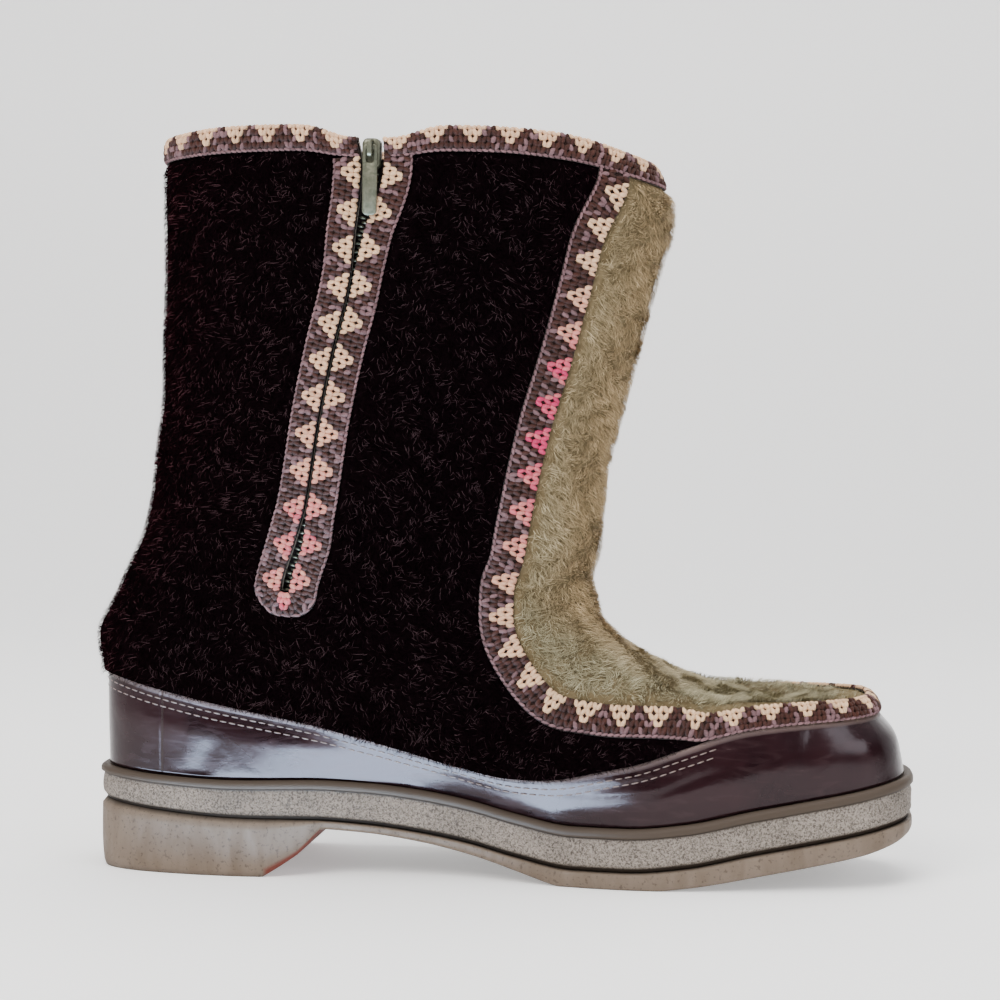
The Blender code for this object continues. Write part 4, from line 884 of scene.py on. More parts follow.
def wall(outer, inner, mask, wraps):
    """Points and faces of a closed wall over the chosen cells of two grids of points."""
    rows, columns = outer.shape[:2]
    count = rows * columns

    def number(row, column):
        return row * columns + (column % columns if wraps else column)

    row, column = np.nonzero(mask)
    quads = np.stack([number(row, column), number(row, column + 1), number(row + 1, column + 1),
                      number(row + 1, column)], axis=1)
    faces = [quads, quads[:, ::-1] + count]
    padded = np.pad(mask, 1)
    if wraps:
        padded[1:-1, 0], padded[1:-1, -1] = mask[:, -1], mask[:, 0]
    beside = (padded[:-2, 1:-1], padded[1:-1, 2:], padded[2:, 1:-1], padded[1:-1, :-2])
    for side, neighbour in enumerate(beside):
        rim = ~neighbour[row, column]
        start, end = quads[rim, side], quads[rim, (side + 1) % 4]
        faces.append(np.stack([end, start, start + count, end + count], axis=1))
    points = np.concatenate([outer.reshape(-1, 3), inner.reshape(-1, 3)])
    faces = np.concatenate(faces)
    used, faces = np.unique(faces, return_inverse=True)
    return points[used], faces.reshape(-1, 4), used


# Materials

def fill_ramp(node, stops):
    """Set a ramp's stops, each a place and a colour or a grey."""
    elements = node.color_ramp.elements
    while len(elements) < len(stops):
        elements.new(0.5)
    for element, (place, colour) in zip(elements, stops):
        element.position = place
        element.color = (*colour, 1.0) if isinstance(colour, tuple) else (colour, colour, colour, 1.0)


class Surface:
    """A Principled material put together node by node, in the boot's own sizes."""

    def __init__(self, name, colour, roughness, **constants):
        self.material = bpy.data.materials.new(name)
        self.material.use_nodes = True
        self.nodes = self.material.node_tree.nodes
        self.links = self.material.node_tree.links
        self.shader = self.nodes["Principled BSDF"]
        self.shader.inputs["Base Color"].default_value = (*colour, 1.0)
        self.shader.inputs["Roughness"].default_value = roughness
        for socket, value in constants.items():
            self.shader.inputs[socket.replace("_", " ")].default_value = value
        self.place = self.nodes.new("ShaderNodeTexCoord").outputs["Object"]

    def link(self, output, socket):
        """Join an output to one of the shader's sockets."""
        self.links.new(output, self.shader.inputs[socket])

    def stretched(self, scale):
        """Object coordinates stretched along the three axes."""
        node = self.nodes.new("ShaderNodeMapping")
        node.inputs["Scale"].default_value = scale
        self.links.new(self.place, node.inputs["Vector"])
        return node.outputs["Vector"]

    def noise(self, size, detail=2.0, distortion=0.0, stretch=None):
        """Noise whose lumps have a given size."""
        node = self.nodes.new("ShaderNodeTexNoise")
        node.inputs["Scale"].default_value = 1 / size
        node.inputs["Detail"].default_value = detail
        node.inputs["Distortion"].default_value = distortion
        self.links.new(self.stretched(stretch) if stretch else self.place, node.inputs["Vector"])
        return node.outputs["Fac"]

    def cells(self, size, feature="DISTANCE_TO_EDGE", randomness=1.0):
        """Distance within cells of a given size."""
        node = self.nodes.new("ShaderNodeTexVoronoi")
        node.feature = feature
        node.inputs["Scale"].default_value = 1 / size
        node.inputs["Randomness"].default_value = randomness
        self.links.new(self.place, node.inputs["Vector"])
        return node.outputs["Distance"]

    def attribute(self, name, output):
        """A value or colour stored on the mesh."""
        node = self.nodes.new("ShaderNodeAttribute")
        node.attribute_name = name
        return node.outputs[output]

    def ramp(self, factor, *stops):
        """Colours, or greys, at places along a factor."""
        node = self.nodes.new("ShaderNodeValToRGB")
        fill_ramp(node, stops)
        self.links.new(factor, node.inputs["Fac"])
        return node.outputs["Color"]

    def mix(self, factor, first, second, blend="MIX"):
        """Two colours mixed by a factor; each is a socket or a fixed colour."""
        node = self.nodes.new("ShaderNodeMix")
        node.data_type = "RGBA"
        node.blend_type = blend
        for name, value in (("Factor", factor), ("A", first), ("B", second)):
            socket = next(item for item in node.inputs if item.name == name and item.enabled)
            if isinstance(value, bpy.types.NodeSocket):
                self.links.new(value, socket)
            else:
                socket.default_value = (*value, 1.0) if isinstance(value, tuple) else value
        return next(item for item in node.outputs if item.enabled)

    def math(self, operation, first, second):
        """Arithmetic on two factors."""
        node = self.nodes.new("ShaderNodeMath")
        node.operation = operation
        for socket, value in zip(node.inputs, (first, second)):
            if isinstance(value, bpy.types.NodeSocket):
                self.links.new(value, socket)
            else:
                socket.default_value = value
        return node.outputs["Value"]

    def bump(self, height, depth, strength=1.0, under=None):
        """Relief of a given depth, on top of an earlier one if there is one."""
        node = self.nodes.new("ShaderNodeBump")
        node.inputs["Strength"].default_value = strength
        node.inputs["Distance"].default_value = depth
        self.links.new(height, node.inputs["Height"])
        if under is not None:
            self.links.new(under, node.inputs["Normal"])
        return node.outputs["Normal"]


def fur_material(name, root, tip, glint, glint_from, side_shade_tone, end_sheen_tone, shine):
    """Short hairs, lighter at the tip, a few of them pale as painted glints, with a painted sheen tone where
    the fur faces the boot's front and back.
    """
    made = Surface(name, root, 0.6, Specular_IOR_Level=shine)
    body = made.ramp(made.attribute("along", "Fac"), (0.0, root), (1.0, tip))
    # Pale hairs high in tint stand for painted glints.
    pale = made.ramp(made.attribute("tint", "Fac"), (glint_from, 0.0), (1.0, 1.0))
    # Painted sheen and shade: the tone follows which way the fur faces, lighter and warmer towards the toe
    # and heel, darker along the sides.
    tone = made.ramp(made.attribute("facing_sheen", "Fac"), (0.15, side_shade_tone), (0.85, end_sheen_tone))
    made.link(made.mix(1.0, made.mix(pale, body, glint), tone, "MULTIPLY"), "Base Color")
    return made.material


def thread_material():
    """Waxed sewing thread."""
    made = Surface("stitch_thread", STITCH_COLOUR, 0.6)
    twist = made.noise(0.5 * MM, 2.0, 0.4)
    shaded = tuple(0.6 * part for part in STITCH_COLOUR)
    made.link(made.ramp(twist, (0.3, shaded), (0.7, STITCH_COLOUR)), "Base Color")
    made.link(made.bump(twist, 0.08 * MM), "Normal")
    return made.material


def plush_base_material(name, deep, high, size):
    """The pile's ground under the hairs."""
    made = Surface(name, deep, 0.9, Specular_IOR_Level=0.0)
    tufts = made.noise(size, 4.0, 0.6)
    made.link(made.ramp(tufts, (0.3, deep), (0.75, high)), "Base Color")
    made.link(made.bump(tufts, 0.8 * MM), "Normal")
    return made.material


def leather_material():
    """Dark, glossy, grained leather with dusty scuffs, a lap line at the heel and a raw pale fringe."""
    deep, worn = (0.007, 0.0022, 0.0035), (0.021, 0.008, 0.010)
    dust, raw, dull = (0.060, 0.034, 0.035), (0.17, 0.115, 0.10), (0.85, 0.85, 0.85)
    made = Surface("foxing_leather", (0.016, 0.006, 0.009), 0.2, Coat_Weight=0.08, Coat_Roughness=0.08,
                   Specular_IOR_Level=0.24, Specular_Tint=(1.0, 0.86, 0.90, 1.0))
    clouds = made.noise(26 * MM, 4.0, 0.8)
    body = made.ramp(clouds, (0.30, deep), (0.75, worn))
    scuffs = made.noise(6 * MM, 6.0, 1.5, stretch=(0.35, 0.35, 1.6))
    dusty = made.ramp(scuffs, (0.52, 0.0), (0.80, 0.30))
    body = made.mix(dusty, body, dust)
    fringe = made.attribute("edge", "Fac")
    made.link(made.mix(fringe, body, raw), "Base Color")
    gloss = made.ramp(scuffs, (0.35, 0.15), (0.8, 0.30))
    made.link(made.mix(fringe, gloss, dull), "Roughness")
    parts = made.nodes.new("ShaderNodeSeparateXYZ")
    made.links.new(made.place, parts.inputs[0])
    from_lap = made.math("ABSOLUTE", made.math("SUBTRACT", parts.outputs["X"], SHIFT[0] + LAP_LINE), 0.0)
    lap = made.ramp(made.math("MULTIPLY", from_lap, 1 / (4 * MM)), (0.0, 0.0), (0.2, 1.0))
    relief = made.bump(lap, 0.35 * MM)
    relief = made.bump(made.cells(0.9 * MM), 0.04 * MM, 0.6, under=relief)
    relief = made.bump(made.math("MULTIPLY", made.noise(0.7 * MM, 3.0, 0.8), fringe), 0.7 * MM, under=relief)
    made.link(made.bump(made.noise(11 * MM, 3.0, 0.5), 0.45 * MM, 0.5, under=relief), "Normal")
    return made.material


def midsole_material():
    """Crepe rubber: a smooth darker lip, a dark line under it and another above the groove, both painted
    shade, and a stippled band.
    """
    # line is painted shade, for the recess under the lip and the groove at the foot of the band.
    lip, line = (0.060, 0.045, 0.034), (0.022, 0.016, 0.012)
    pit, band = (0.105, 0.088, 0.074), (0.34, 0.295, 0.255)
    made = Surface("crepe_midsole_rubber", band, 0.6, Specular_IOR_Level=0.12)
    down = made.attribute("down", "Fac")
    stipple = made.noise(0.62 * MM, 3.0, 0.8)
    dust = made.ramp(made.noise(16 * MM, 4.0, 0.4), (0.35, 0.72), (0.75, 1.0))
    face = made.mix(1.0, made.ramp(stipple, (0.36, pit), (0.58, band)), dust, "MULTIPLY")
    in_band = made.ramp(down, (0.23, 0.0), (0.27, 1.0), (0.88, 1.0), (0.93, 0.0))
    # Painted shade: the dark line under the lip and the one just above the groove.
    rim = made.ramp(down, (0.0, lip), (0.19, lip), (0.23, line), (0.30, lip), (0.88, lip), (0.94, line))
    made.link(made.mix(in_band, rim, face), "Base Color")
    made.link(made.ramp(in_band, (0.0, 0.50), (1.0, 0.78)), "Roughness")
    relief = made.bump(made.math("MULTIPLY", stipple, in_band), 0.55 * MM)
    made.link(made.bump(made.noise(7 * MM, 3.0, 0.4), 0.15 * MM, under=relief), "Normal")
    return made.material


def outsole_material():
    """Smooth worn rubber, dusty and faintly streaked, reddish on the heel's slanted breast, with painted
    shade at the top under the groove and at the foot of the side.
    """
    deep, pale, breast = (0.138, 0.104, 0.078), (0.172, 0.133, 0.103), (0.13, 0.034, 0.024)
    made = Surface("smooth_outsole_rubber", pale, 0.55, Specular_IOR_Level=0.15)
    clouds = made.noise(9 * MM, 5.0, 0.5, stretch=(1.6, 1.6, 0.5))
    face = made.ramp(clouds, (0.32, deep), (0.66, pale))
    specks = made.ramp(made.noise(1.1 * MM, 3.0), (0.30, 0.62), (0.42, 1.0))
    face = made.mix(1.0, face, specks, "MULTIPLY")
    # Painted shade: darker at the top of the side under the groove, and a little at its foot by the floor.
    edge = made.ramp(made.attribute("down", "Fac"), (0.0, 0.30), (0.07, 1.0), (0.90, 1.0), (1.0, 0.75))
    face = made.mix(1.0, face, edge, "MULTIPLY")
    made.link(made.mix(made.attribute("breast", "Fac"), face, breast), "Base Color")
    made.link(made.ramp(clouds, (0.3, 0.70), (0.7, 0.45)), "Roughness")
    made.link(made.bump(made.noise(1.8 * MM, 4.0), 0.12 * MM), "Normal")
    return made.material


def yarn_material():
    """Wool yarn in the colours stored on the braid."""
    made = Surface("braid_yarn", CREAM, 0.8, Sheen_Weight=0.05, Specular_IOR_Level=0.2)
    fibre = made.noise(0.45 * MM, 3.0, 0.5, stretch=(1.0, 1.0, 2.0))
    shade = made.ramp(fibre, (0.25, 0.62), (0.75, 1.0))
    made.link(made.mix(1.0, made.attribute("yarn", "Color"), shade, "MULTIPLY"), "Base Color")
    made.link(made.bump(fibre, 0.16 * MM), "Normal")
    return made.material


def cloth_material(name, dark, light, size):
    """Plain woven or felted cloth."""
    made = Surface(name, dark, 0.9, Sheen_Weight=0.1, Specular_IOR_Level=0.15)
    threads = made.noise(size, 4.0, 0.8)
    made.link(made.ramp(threads, (0.3, dark), (0.7, light)), "Base Color")
    made.link(made.bump(threads, 0.3 * MM), "Normal")
    return made.material


def metal_material():
    """Painted zip metal, greyed and rubbed."""
    made = Surface("zip_metal", (0.20, 0.205, 0.15), 0.45, Metallic=0.6)
    wear = made.noise(1.6 * MM, 4.0, 0.6)
    made.link(made.ramp(wear, (0.35, (0.065, 0.067, 0.042)), (0.75, (0.16, 0.16, 0.115))), "Base Color")
    made.link(made.ramp(wear, (0.3, 0.5), (0.8, 0.3)), "Roughness")
    made.link(made.bump(wear, 0.06 * MM), "Normal")
    return made.material


# Sole

def sole_loop(outset):
    """The feather line moved outward, evenly spaced from toe to heel on the lateral side and back."""
    half = even_turns(0.0, math.pi, SOLE_CELLS // 2, 0.0)
    turns = np.concatenate([half, 2 * math.pi - half[::-1][1:-1]])
    step = 0.02
    points = shell(turns, 0.0)
    around = shell(turns + step, 0.0) - shell(turns - step, 0.0)
    out = unit(np.stack([around[:, 1], -around[:, 0]], axis=1))
    return points[:, :2] + out * outset


def sole_rings(side, rows, top, bottom, crinkle):
    """Rings of points down a layer's side, and how far down each of them lies."""
    down = refined((0.0, *(place for place, _ in side if 0 < place < 1), 1.0), 1 / rows)
    rings = []
    for share, inward in zip(down, table_curve(side, down)):
        loop = sole_loop(SOLE_LIP * (1 - inward))
        high, low = top(loop[:, 0]), bottom(loop[:, 0])
        points = np.column_stack([loop, high + (low - high) * share])
        from_lip, from_groove = (share - CRINKLE_FROM) / CRINKLE_FADE, (CRINKLE_TO - share) / CRINKLE_FADE
        depth = crinkle * smooth(from_lip) * smooth(from_groove)
        out = unit(np.column_stack([loop - loop.mean(axis=0), np.zeros(len(loop))]))
        rings.append(points + out * (waves(points, CRINKLE_SIZE, CRINKLE_SEED) * depth)[:, None])
    return down, rings


def across_sole(points, start, count, height):
    """Points and faces of strips from a ring's lateral half to its medial half, at given heights or level."""
    half = count // 2
    lateral = start + np.arange(half + 1)
    medial = start + (count - np.arange(half + 1)) % count
    rows = [lateral]
    for share in np.arange(1, SOLE_STRIPS) / SOLE_STRIPS:
        between = points[lateral] * (1 - share) + points[medial] * share
        if height:
            between[:, 2] = height(between[:, 0])
        first = len(points)
        points = np.concatenate([points, between[1:-1]])
        rows.append(np.concatenate([lateral[:1], np.arange(first, len(points)), lateral[-1:]]))
    faces = []
    for first, second in zip(rows, rows[1:] + [medial]):
        faces.append(np.stack([first[1:-2], first[2:-1], second[2:-1], second[1:-2]], axis=1))
        faces.append(np.array([[first[0], first[1], second[1]], [first[-2], first[-1], second[-2]]]))
    return points, faces


def sole_layer(name, side, rows, top, bottom, material, node, crinkle):
    """A sole layer swept round the outline and closed by strips across its top and bottom."""
    down, rings = sole_rings(side, rows, top, bottom, crinkle)
    count = len(rings[0])
    starts = np.arange(len(rings)) * count
    faces = [np.roll(ring_quads(lower, upper, count), 1, axis=1) for upper, lower in zip(starts, starts[1:])]
    points, over = across_sole(np.concatenate(rings), 0, count, top)
    points, under = across_sole(points, starts[-1], count, None)
    faces += over + [group[:, ::-1] for group in under]
    inner = np.zeros((SOLE_STRIPS - 1) * (count // 2 - 1))
    zone = np.concatenate([np.repeat(down, count), inner, inner + 1])
    made = mesh_object(name, points, faces, material)
    paint(made, "down", zone)
    opened = np.interp(points[:, 0] / LENGTH, *np.array(BREAST_TABLE).T)
    slanted = (opened > BREAST_SPAN[0]) & (opened < BREAST_SPAN[1]) & (zone > BREAST_EDGE)
    paint(made, "breast", slanted.astype(float))
    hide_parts(node)


def make_sole():
    """Midsole with its lip and crinkled band, and outsole with heel block."""
    sole_layer("crepe_midsole", MIDSOLE_SIDE, MIDSOLE_ROWS, sole_top, groove_height, midsole_material(),
               "midsole", CRINKLE_DEPTH)
    sole_layer("rubber_outsole", OUTSOLE_SIDE, OUTSOLE_ROWS, lambda x: groove_height(x) - GAP, sole_bottom,
               outsole_material(), "outsole", 0.0)


# Upper

def inner_offset(levels):
    """How deep the inner face lies: thick behind the foxing, thinner up the shaft."""
    deep = FOXING_THICKNESS + GAP + LINING_THICKNESS
    up = np.clip((levels - FOXING_LEVEL) / (INNER_STEP_LEVEL - FOXING_LEVEL), 0.0, 1.0)
    return -(deep + (SHAFT_WALL - deep) * up)


def make_upper(net):
    """Grounds of both furs, the lining and the leather foxing."""
    levels = np.repeat(net.levels[:, None], net.columns, axis=1)
    turns, cover = net.turns[:, :-1], net.cover[:, :-1]
    under = inner_offset(levels)
    inner = skin(turns, levels, under + LINING_SKIN + LINING_GAP)
    dark_ground = plush_base_material("dark_fur_ground", *DARK_GROUND)
    olive_ground = plush_base_material("olive_fur_ground", *OLIVE_GROUND)
    for name, olive, pile, material, node, slot in (
        ("dark_plush", False, PILE, dark_ground, "upper", "fur"),
        ("olive_plush", True, PANEL_PILE, olive_ground, "front_panel", "olive_fur"),
    ):
        outer = fur_ground(turns, levels, cover, pile)
        points, faces, _ = wall(outer, inner, net.cells(net.foxing, net.top, olive), True)
        made = mesh_object(name, points, [faces], material)
        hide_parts(node)
    points, faces, _ = wall(skin(turns, levels, under + LINING_SKIN), skin(turns, levels, under),
                            net.cells(0, net.top), True)
    made = mesh_object("lining", points, [faces], cloth_material("lining_fleece", *FLEECE))
    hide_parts("upper", "front_panel")
    make_foxing(net)


def fur_ground(turns, levels, cover, pile):
    """Points of a pile's ground: creased, a little uneven, and pressed flat under the braids."""
    flat = skin(turns, levels, 0.0)
    folds = creases(flat)
    size, depth, seed = GROUND_WAVE
    high = pile * GROUND_SHARE - PRESSED_PILE + folds + waves(flat, size, seed) * depth
    return skin(turns, levels, PRESSED_PILE + high * (1 - cover) + folds * cover)


def foxing_gathers(flat, share):
    """How far the leather's upper edge moves outward for the gathers at the toe."""
    low, high = np.array(PUCKER_SPAN) * LENGTH
    fade_in, fade_out = PUCKER_FADES
    x = flat[..., 0]
    gathers = np.sin(2 * math.pi * x / PUCKER_PITCH + 2 * waves(flat, PUCKER_SWAY, PUCKER_SEED))
    gathers = gathers * smooth((x - low) / fade_in) * smooth((high - x) / fade_out)
    return gathers * share ** PUCKER_POWER * PUCKER_DEPTH


def make_foxing(net):
    """The leather band, with flex lines, a gathered upper edge at the toe and a raw fringe."""
    levels = np.linspace(FEATHER_GAP / UPPER_HEIGHT, FOXING_LEVEL, FOXING_ROWS)
    columns = np.arange(net.columns + 1)
    turns = []
    for level in levels:
        line = np.array([np.interp(level, net.levels, net.turns[:, column]) for column in columns])
        turns.append(np.interp(np.arange(0, net.columns, FOXING_COLUMN), columns, line))
    turns = np.array(turns)
    grid = np.repeat(levels[:, None], turns.shape[1], axis=1)
    share = grid / FOXING_LEVEL
    flat = skin(turns, grid, 0.0)
    size, depth, seed = LEATHER_WAVE
    offset = creases(flat, LEATHER_DENTS) + waves(flat, size, seed) * depth + foxing_gathers(flat, share)
    offset *= smooth((1 - share) * TOP_FADE + TOP_KEPT) * smooth(share * FEATHER_FADE)
    mask = np.ones((len(levels) - 1, turns.shape[1]), dtype=bool)
    points, faces, used = wall(skin(turns, grid, offset), skin(turns, grid, -FOXING_THICKNESS), mask, True)
    made = mesh_object("leather_foxing", points, [faces], leather_material())
    paint(made, "edge", np.tile(smooth((share - FRINGE_FROM) / FRINGE_SPAN).ravel(), 2)[used])
    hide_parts("foxing")
    make_stitches()


def make_stitches():
    """Two rows of dashes under the dark fur's edge, from one side of the toe round the heel to the other."""
    end = turn_at(STITCH_END * LENGTH, FOXING_LEVEL, 1)[0]
    turns = np.linspace(end, 2 * math.pi - end, STITCH_SAMPLES)
    levels = np.full(len(turns), FOXING_LEVEL)
    _, by_level = skin_slopes(turns, levels)
    parts = []
    for drop in STITCH_ROWS:
        row_turns, row_levels = walk(turns, levels, -unit(by_level), drop)
        line = skin(row_turns, row_levels, 0.0)
        line += skin_normal(row_turns, row_levels) * (creases(line, LEATHER_DENTS) + STITCH_LIFT)[:, None]
        run = run_along(line)
        begins = np.arange(0.0, run[-1] - STITCH_PITCH, STITCH_PITCH)
        starts, ends = (np.stack([np.interp(place, run, line[:, axis]) for axis in range(3)], axis=1)
                        for place in (begins, begins + STITCH_LENGTH))
        out = skin_normal(np.interp(begins, run, row_turns), np.interp(begins, run, row_levels))
        parts.append(plump(starts, ends, out, STITCH_RADIUS))
    points, faces = gathered(parts)
    made = mesh_object("foxing_stitches", points, faces, thread_material())
    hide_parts("foxing")


# Braids

class Ribbon:
    """A braid's sheet, on which its links lie. Share 0 is its pale edge and 1 the edge with the beads."""

    def __init__(self, points, facing):
        self.points = points
        along, across = np.gradient(points, axis=0), np.gradient(points, axis=1)
        self.out = unit(np.cross(along, across)) * facing
        self.run = run_along(points[:, points.shape[1] // 2])

    def at(self, run, share, height):
        """Points at distances along, shares across and heights above the sheet, and the way outward there."""
        rows, columns = self.points.shape[:2]
        run, share = np.broadcast_arrays(run, share)
        u = np.clip(np.interp(run, self.run, np.arange(rows)), 0, rows - 1.001)
        v = np.clip(share, 0.0, 0.999) * (columns - 1)
        i, j = u.astype(int), v.astype(int)
        a, b = (u - i)[:, None], (v - j)[:, None]
        values = []
        for grid in (self.points, self.out):
            values.append((grid[i, j] * (1 - a) + grid[i + 1, j] * a) * (1 - b)
                          + (grid[i, j + 1] * (1 - a) + grid[i + 1, j + 1] * a) * b)
        out = unit(values[1])
        return values[0] + out * height, out


def panel_line(net):
    """Turns and levels of the panel braid's middle, evenly spaced and softened at the corners."""
    centre_level = (FOXING_LEVEL + TOE_BRAID_LEVEL) / 2
    leg_levels = np.linspace(net.collar_level + BRAID_OVERLAP / UPPER_HEIGHT, centre_level, LEG_SAMPLES)
    halves = []
    for side in (1, -1):
        leg = net.seams[side].turn(leg_levels)
        toe = np.linspace(leg[-1], 0.0, TOE_SAMPLES)[1:]
        halves.append(np.array([[*leg, *toe], [*leg_levels, *np.full(len(toe), centre_level)]]))
    line = np.concatenate([halves[0], halves[1][:, ::-1][:, 1:]], axis=1)
    run = run_along(shell(*line))
    even = np.linspace(0, run[-1], round(run[-1] / BRAID_STEP))
    window = np.ones(SOFTENING) / SOFTENING
    softened = []
    for values in line:
        padded = np.pad(np.interp(even, run, values), SOFTENING // 2, mode="reflect", reflect_type="odd")
        softened.append(np.convolve(padded, window, mode="valid"))
    return softened


def panel_ribbon(net):
    """The braid round the olive panel: down the lateral seam, round the toe and up the medial seam."""
    turn, level = panel_line(net)
    line = shell(turn, level)
    tangent = unit(np.gradient(line, axis=0))
    inward = unit(np.cross(tangent, skin_normal(turn, level)))
    by_turn, by_level = skin_slopes(turn, level)
    steep = by_level - by_turn * (np.sum(by_turn * by_level, axis=1) / np.sum(by_turn ** 2, axis=1))[:, None]
    rate = np.maximum(np.sum(steep * inward, axis=1) / np.sum(steep ** 2, axis=1), LEAST_RATE)
    half = PANEL_BRAID_WIDTH / 2
    low = np.clip((level - FOXING_LEVEL) / rate, LEAST_HALF_BRAID, half)
    high = np.clip((TOE_BRAID_LEVEL - level) / rate, LEAST_HALF_BRAID, half)
    near, far = np.array(TOE_BRAID_SPAN) * LENGTH
    in_toe = smooth((line[:, 0] - near) / (far - near))
    high = half * (1 - in_toe) + high * in_toe
    columns = []
    for share in BRAID_SHARES:
        distance = high * (1 - 2 * share) if share < 0.5 else -low * (2 * share - 1)
        columns.append(raised_sheet(*walk(turn, level, inward, distance)))
    return Ribbon(np.stack(columns, axis=1), 1)


def raised_sheet(turn, level):
    """Points of a braid's sheet over the skin, following the creases."""
    flat = skin(turn, level, BRAID_SHEET)
    return flat + skin_normal(turn, level) * creases(flat)[:, None]


def zip_ribbon(net):
    """The braid's long loop round the zip, from the back of the slit's top to the front."""
    leg = np.linspace(net.collar_level + BRAID_OVERLAP / UPPER_HEIGHT, net.slit_level, ZIP_LEG_SAMPLES)
    bend = np.linspace(0, math.pi, ZIP_BEND_SAMPLES)[1:-1]
    drop = (net.slit_level - net.loop_level) * UPPER_HEIGHT - ZIP_NECK
    half = zip_half_opening(net.slit_level)
    columns = []
    for share in BRAID_SHARES:
        leg_reach = zip_half_opening(leg) + ZIP_BRAID_WIDTH * share
        turned = -np.cos(bend) * (half + ZIP_BRAID_WIDTH * share)
        distance = np.concatenate([-leg_reach, turned, leg_reach[::-1]])
        down = np.sin(bend) * (ZIP_NECK + drop * share) / UPPER_HEIGHT
        level = np.concatenate([leg, net.slit_level - down, leg[::-1]])
        columns.append(raised_sheet(*net.zip.moved(level, distance)))
    return Ribbon(np.stack(columns, axis=1), -1)


def collar_ribbon(net, profile, facing):
    """One side of the braid folded over the collar, from the slit round the boot and back to the slit."""
    around = np.arange(net.slit_column + 1, net.columns + net.slit_column + 1)
    laps = 2 * math.pi * (around >= net.columns)
    turns, lower = (net.turns[row, around % net.columns] + laps for row in (net.top, net.collar))
    wall_drop = BRAID_THICKNESS + GAP
    columns = []
    for drop, offset in profile:
        share = np.clip((drop * MM - wall_drop) / (COLLAR_BRAID_DROP - wall_drop), 0.0, 1.0)
        columns.append(skin(turns + (lower - turns) * share, 1 - drop * MM / UPPER_HEIGHT, offset * MM))
    return Ribbon(np.stack(columns, axis=1), facing)


def dyed(points, dye, rng):
    """Pale yarn, pinker where the table says, a little different from link to link."""
    share = np.interp(points[:, 2] / MM, *np.array(dye).T)
    share = np.clip(share * rng.uniform(*DYE_SHADES, len(points)), 0, 1)[:, None]
    return np.array(CREAM) * (1 - share) + np.array(PINK) * share


def link_row(ribbon, dye, number, pitch, rng):
    """One row of V shapes: points, faces and colours of its left arms and of its right arms."""
    total, place = ribbon.run[-1], LINK_ROWS[number]
    links = np.arange(round(total / pitch))
    middle = (links + 0.5 + 0.5 * (number % 2)) * pitch
    links, middle = links[middle < total - LINK_END * pitch], middle[middle < total - LINK_END * pitch]
    sway = rng.normal(0, LINK_SWAY, (2, len(middle)))
    pale = np.isin(links % MOTIF, CREAM_LINKS[number])[:, None]
    each = (len(middle), 1)
    arms = []
    for arm in (-1, 1):
        tips, out = ribbon.at(middle + arm * LINK_SPLIT * pitch, place + LINK_REACH, LINK_TIP)
        foot = middle + (arm * LINK_HALF + sway[0]) * pitch
        feet, _ = ribbon.at(foot, place - LINK_REACH * (1 + sway[1]), LINK_FOOT)
        points, faces, size = plump(feet, tips, out, LINK_RADIUS * rng.uniform(*LINK_GIRTHS, len(middle)))
        dark = np.where(rng.random(each) < MAUVE_SHARE, MAUVE, BROWN) * rng.uniform(*DARK_SHADES, each)
        light = dyed(tips, dye, rng) * rng.uniform(*PALE_SHADES, each)
        arms.append((points, faces, np.repeat(np.where(pale, light, dark), size, axis=0)))
    return arms


def bead_row(ribbon, pitch, rng):
    """The row of beads: points, faces and colours."""
    middle = np.arange(0.5, round(ribbon.run[-1] / pitch)) * pitch
    starts, out = ribbon.at(middle - BEAD_HALF * pitch, BEAD_PLACE - BEAD_LEAN, BEAD_HEIGHT)
    ends, _ = ribbon.at(middle + BEAD_HALF * pitch, BEAD_PLACE + BEAD_LEAN, BEAD_HEIGHT)
    points, faces, size = plump(starts, ends, out, BEAD_RADIUS)
    tone = np.array(MAUVE) * rng.uniform(*BEAD_SHADES, (len(middle), 1))
    return points, faces, np.repeat(tone, size, axis=0)


def weave(ribbon, dye, beads, seed):
    """Rows of links and a row of beads, each with its points, faces and colours."""
    rng = np.random.default_rng(seed)
    total = ribbon.run[-1]
    motifs = max(1, round(total / (MOTIF * LINK_PITCH)))
    parts = []
    for number in range(len(LINK_ROWS)):
        parts += link_row(ribbon, dye, number, total / (MOTIF * motifs), rng)
    if beads:
        parts.append(bead_row(ribbon, total / (BEADS * motifs), rng))
    return parts


def lay_braid(name, node, sides, dye, yarn, backing):
    """A braid: its backing sheet and the links on each of its sides."""
    parts = []
    for number, (ribbon, beads) in enumerate(sides):
        parts += weave(ribbon, dye, beads, LINK_SEED + number)
    points, faces = gathered(parts)
    made = mesh_object(name, points, faces, yarn)
    paint(made, "yarn", np.concatenate([tone for _, _, tone in parts]))
    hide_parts(node)
    sheets = [(ribbon.points, ribbon.points - ribbon.out * SHEET_DEPTH) for ribbon, _ in sides]
    outer, under = sheets[0]
    if len(sheets) > 1:
        outer, under = (np.concatenate([first[:, ::-1], second], axis=1) for first, second in zip(*sheets))
    mask = np.ones((outer.shape[0] - 1, outer.shape[1] - 1), dtype=bool)
    points, faces, _ = wall(outer, under, mask, False)
    made = mesh_object(name + "_backing", points, [faces], backing)
    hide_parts(node)


def make_braids(net):
    """All three braids."""
    yarn = yarn_material()
    backing = cloth_material("braid_backing", *BRAID_CLOTH)
    collar = [(collar_ribbon(net, COLLAR_OUTSIDE, -1), True), (collar_ribbon(net, COLLAR_INSIDE, 1), False)]
    for name, node, sides, dye in (
        ("woven_panel_braid", "panel_braid", [(panel_ribbon(net), True)], PANEL_DYE),
        ("woven_zip_braid", "zip_braid", [(zip_ribbon(net), True)], ZIP_DYE),
        ("woven_collar_braid", "collar_braid", collar, COLLAR_DYE),
    ):
        lay_braid(name, node, sides, dye, yarn, backing)


# Fur

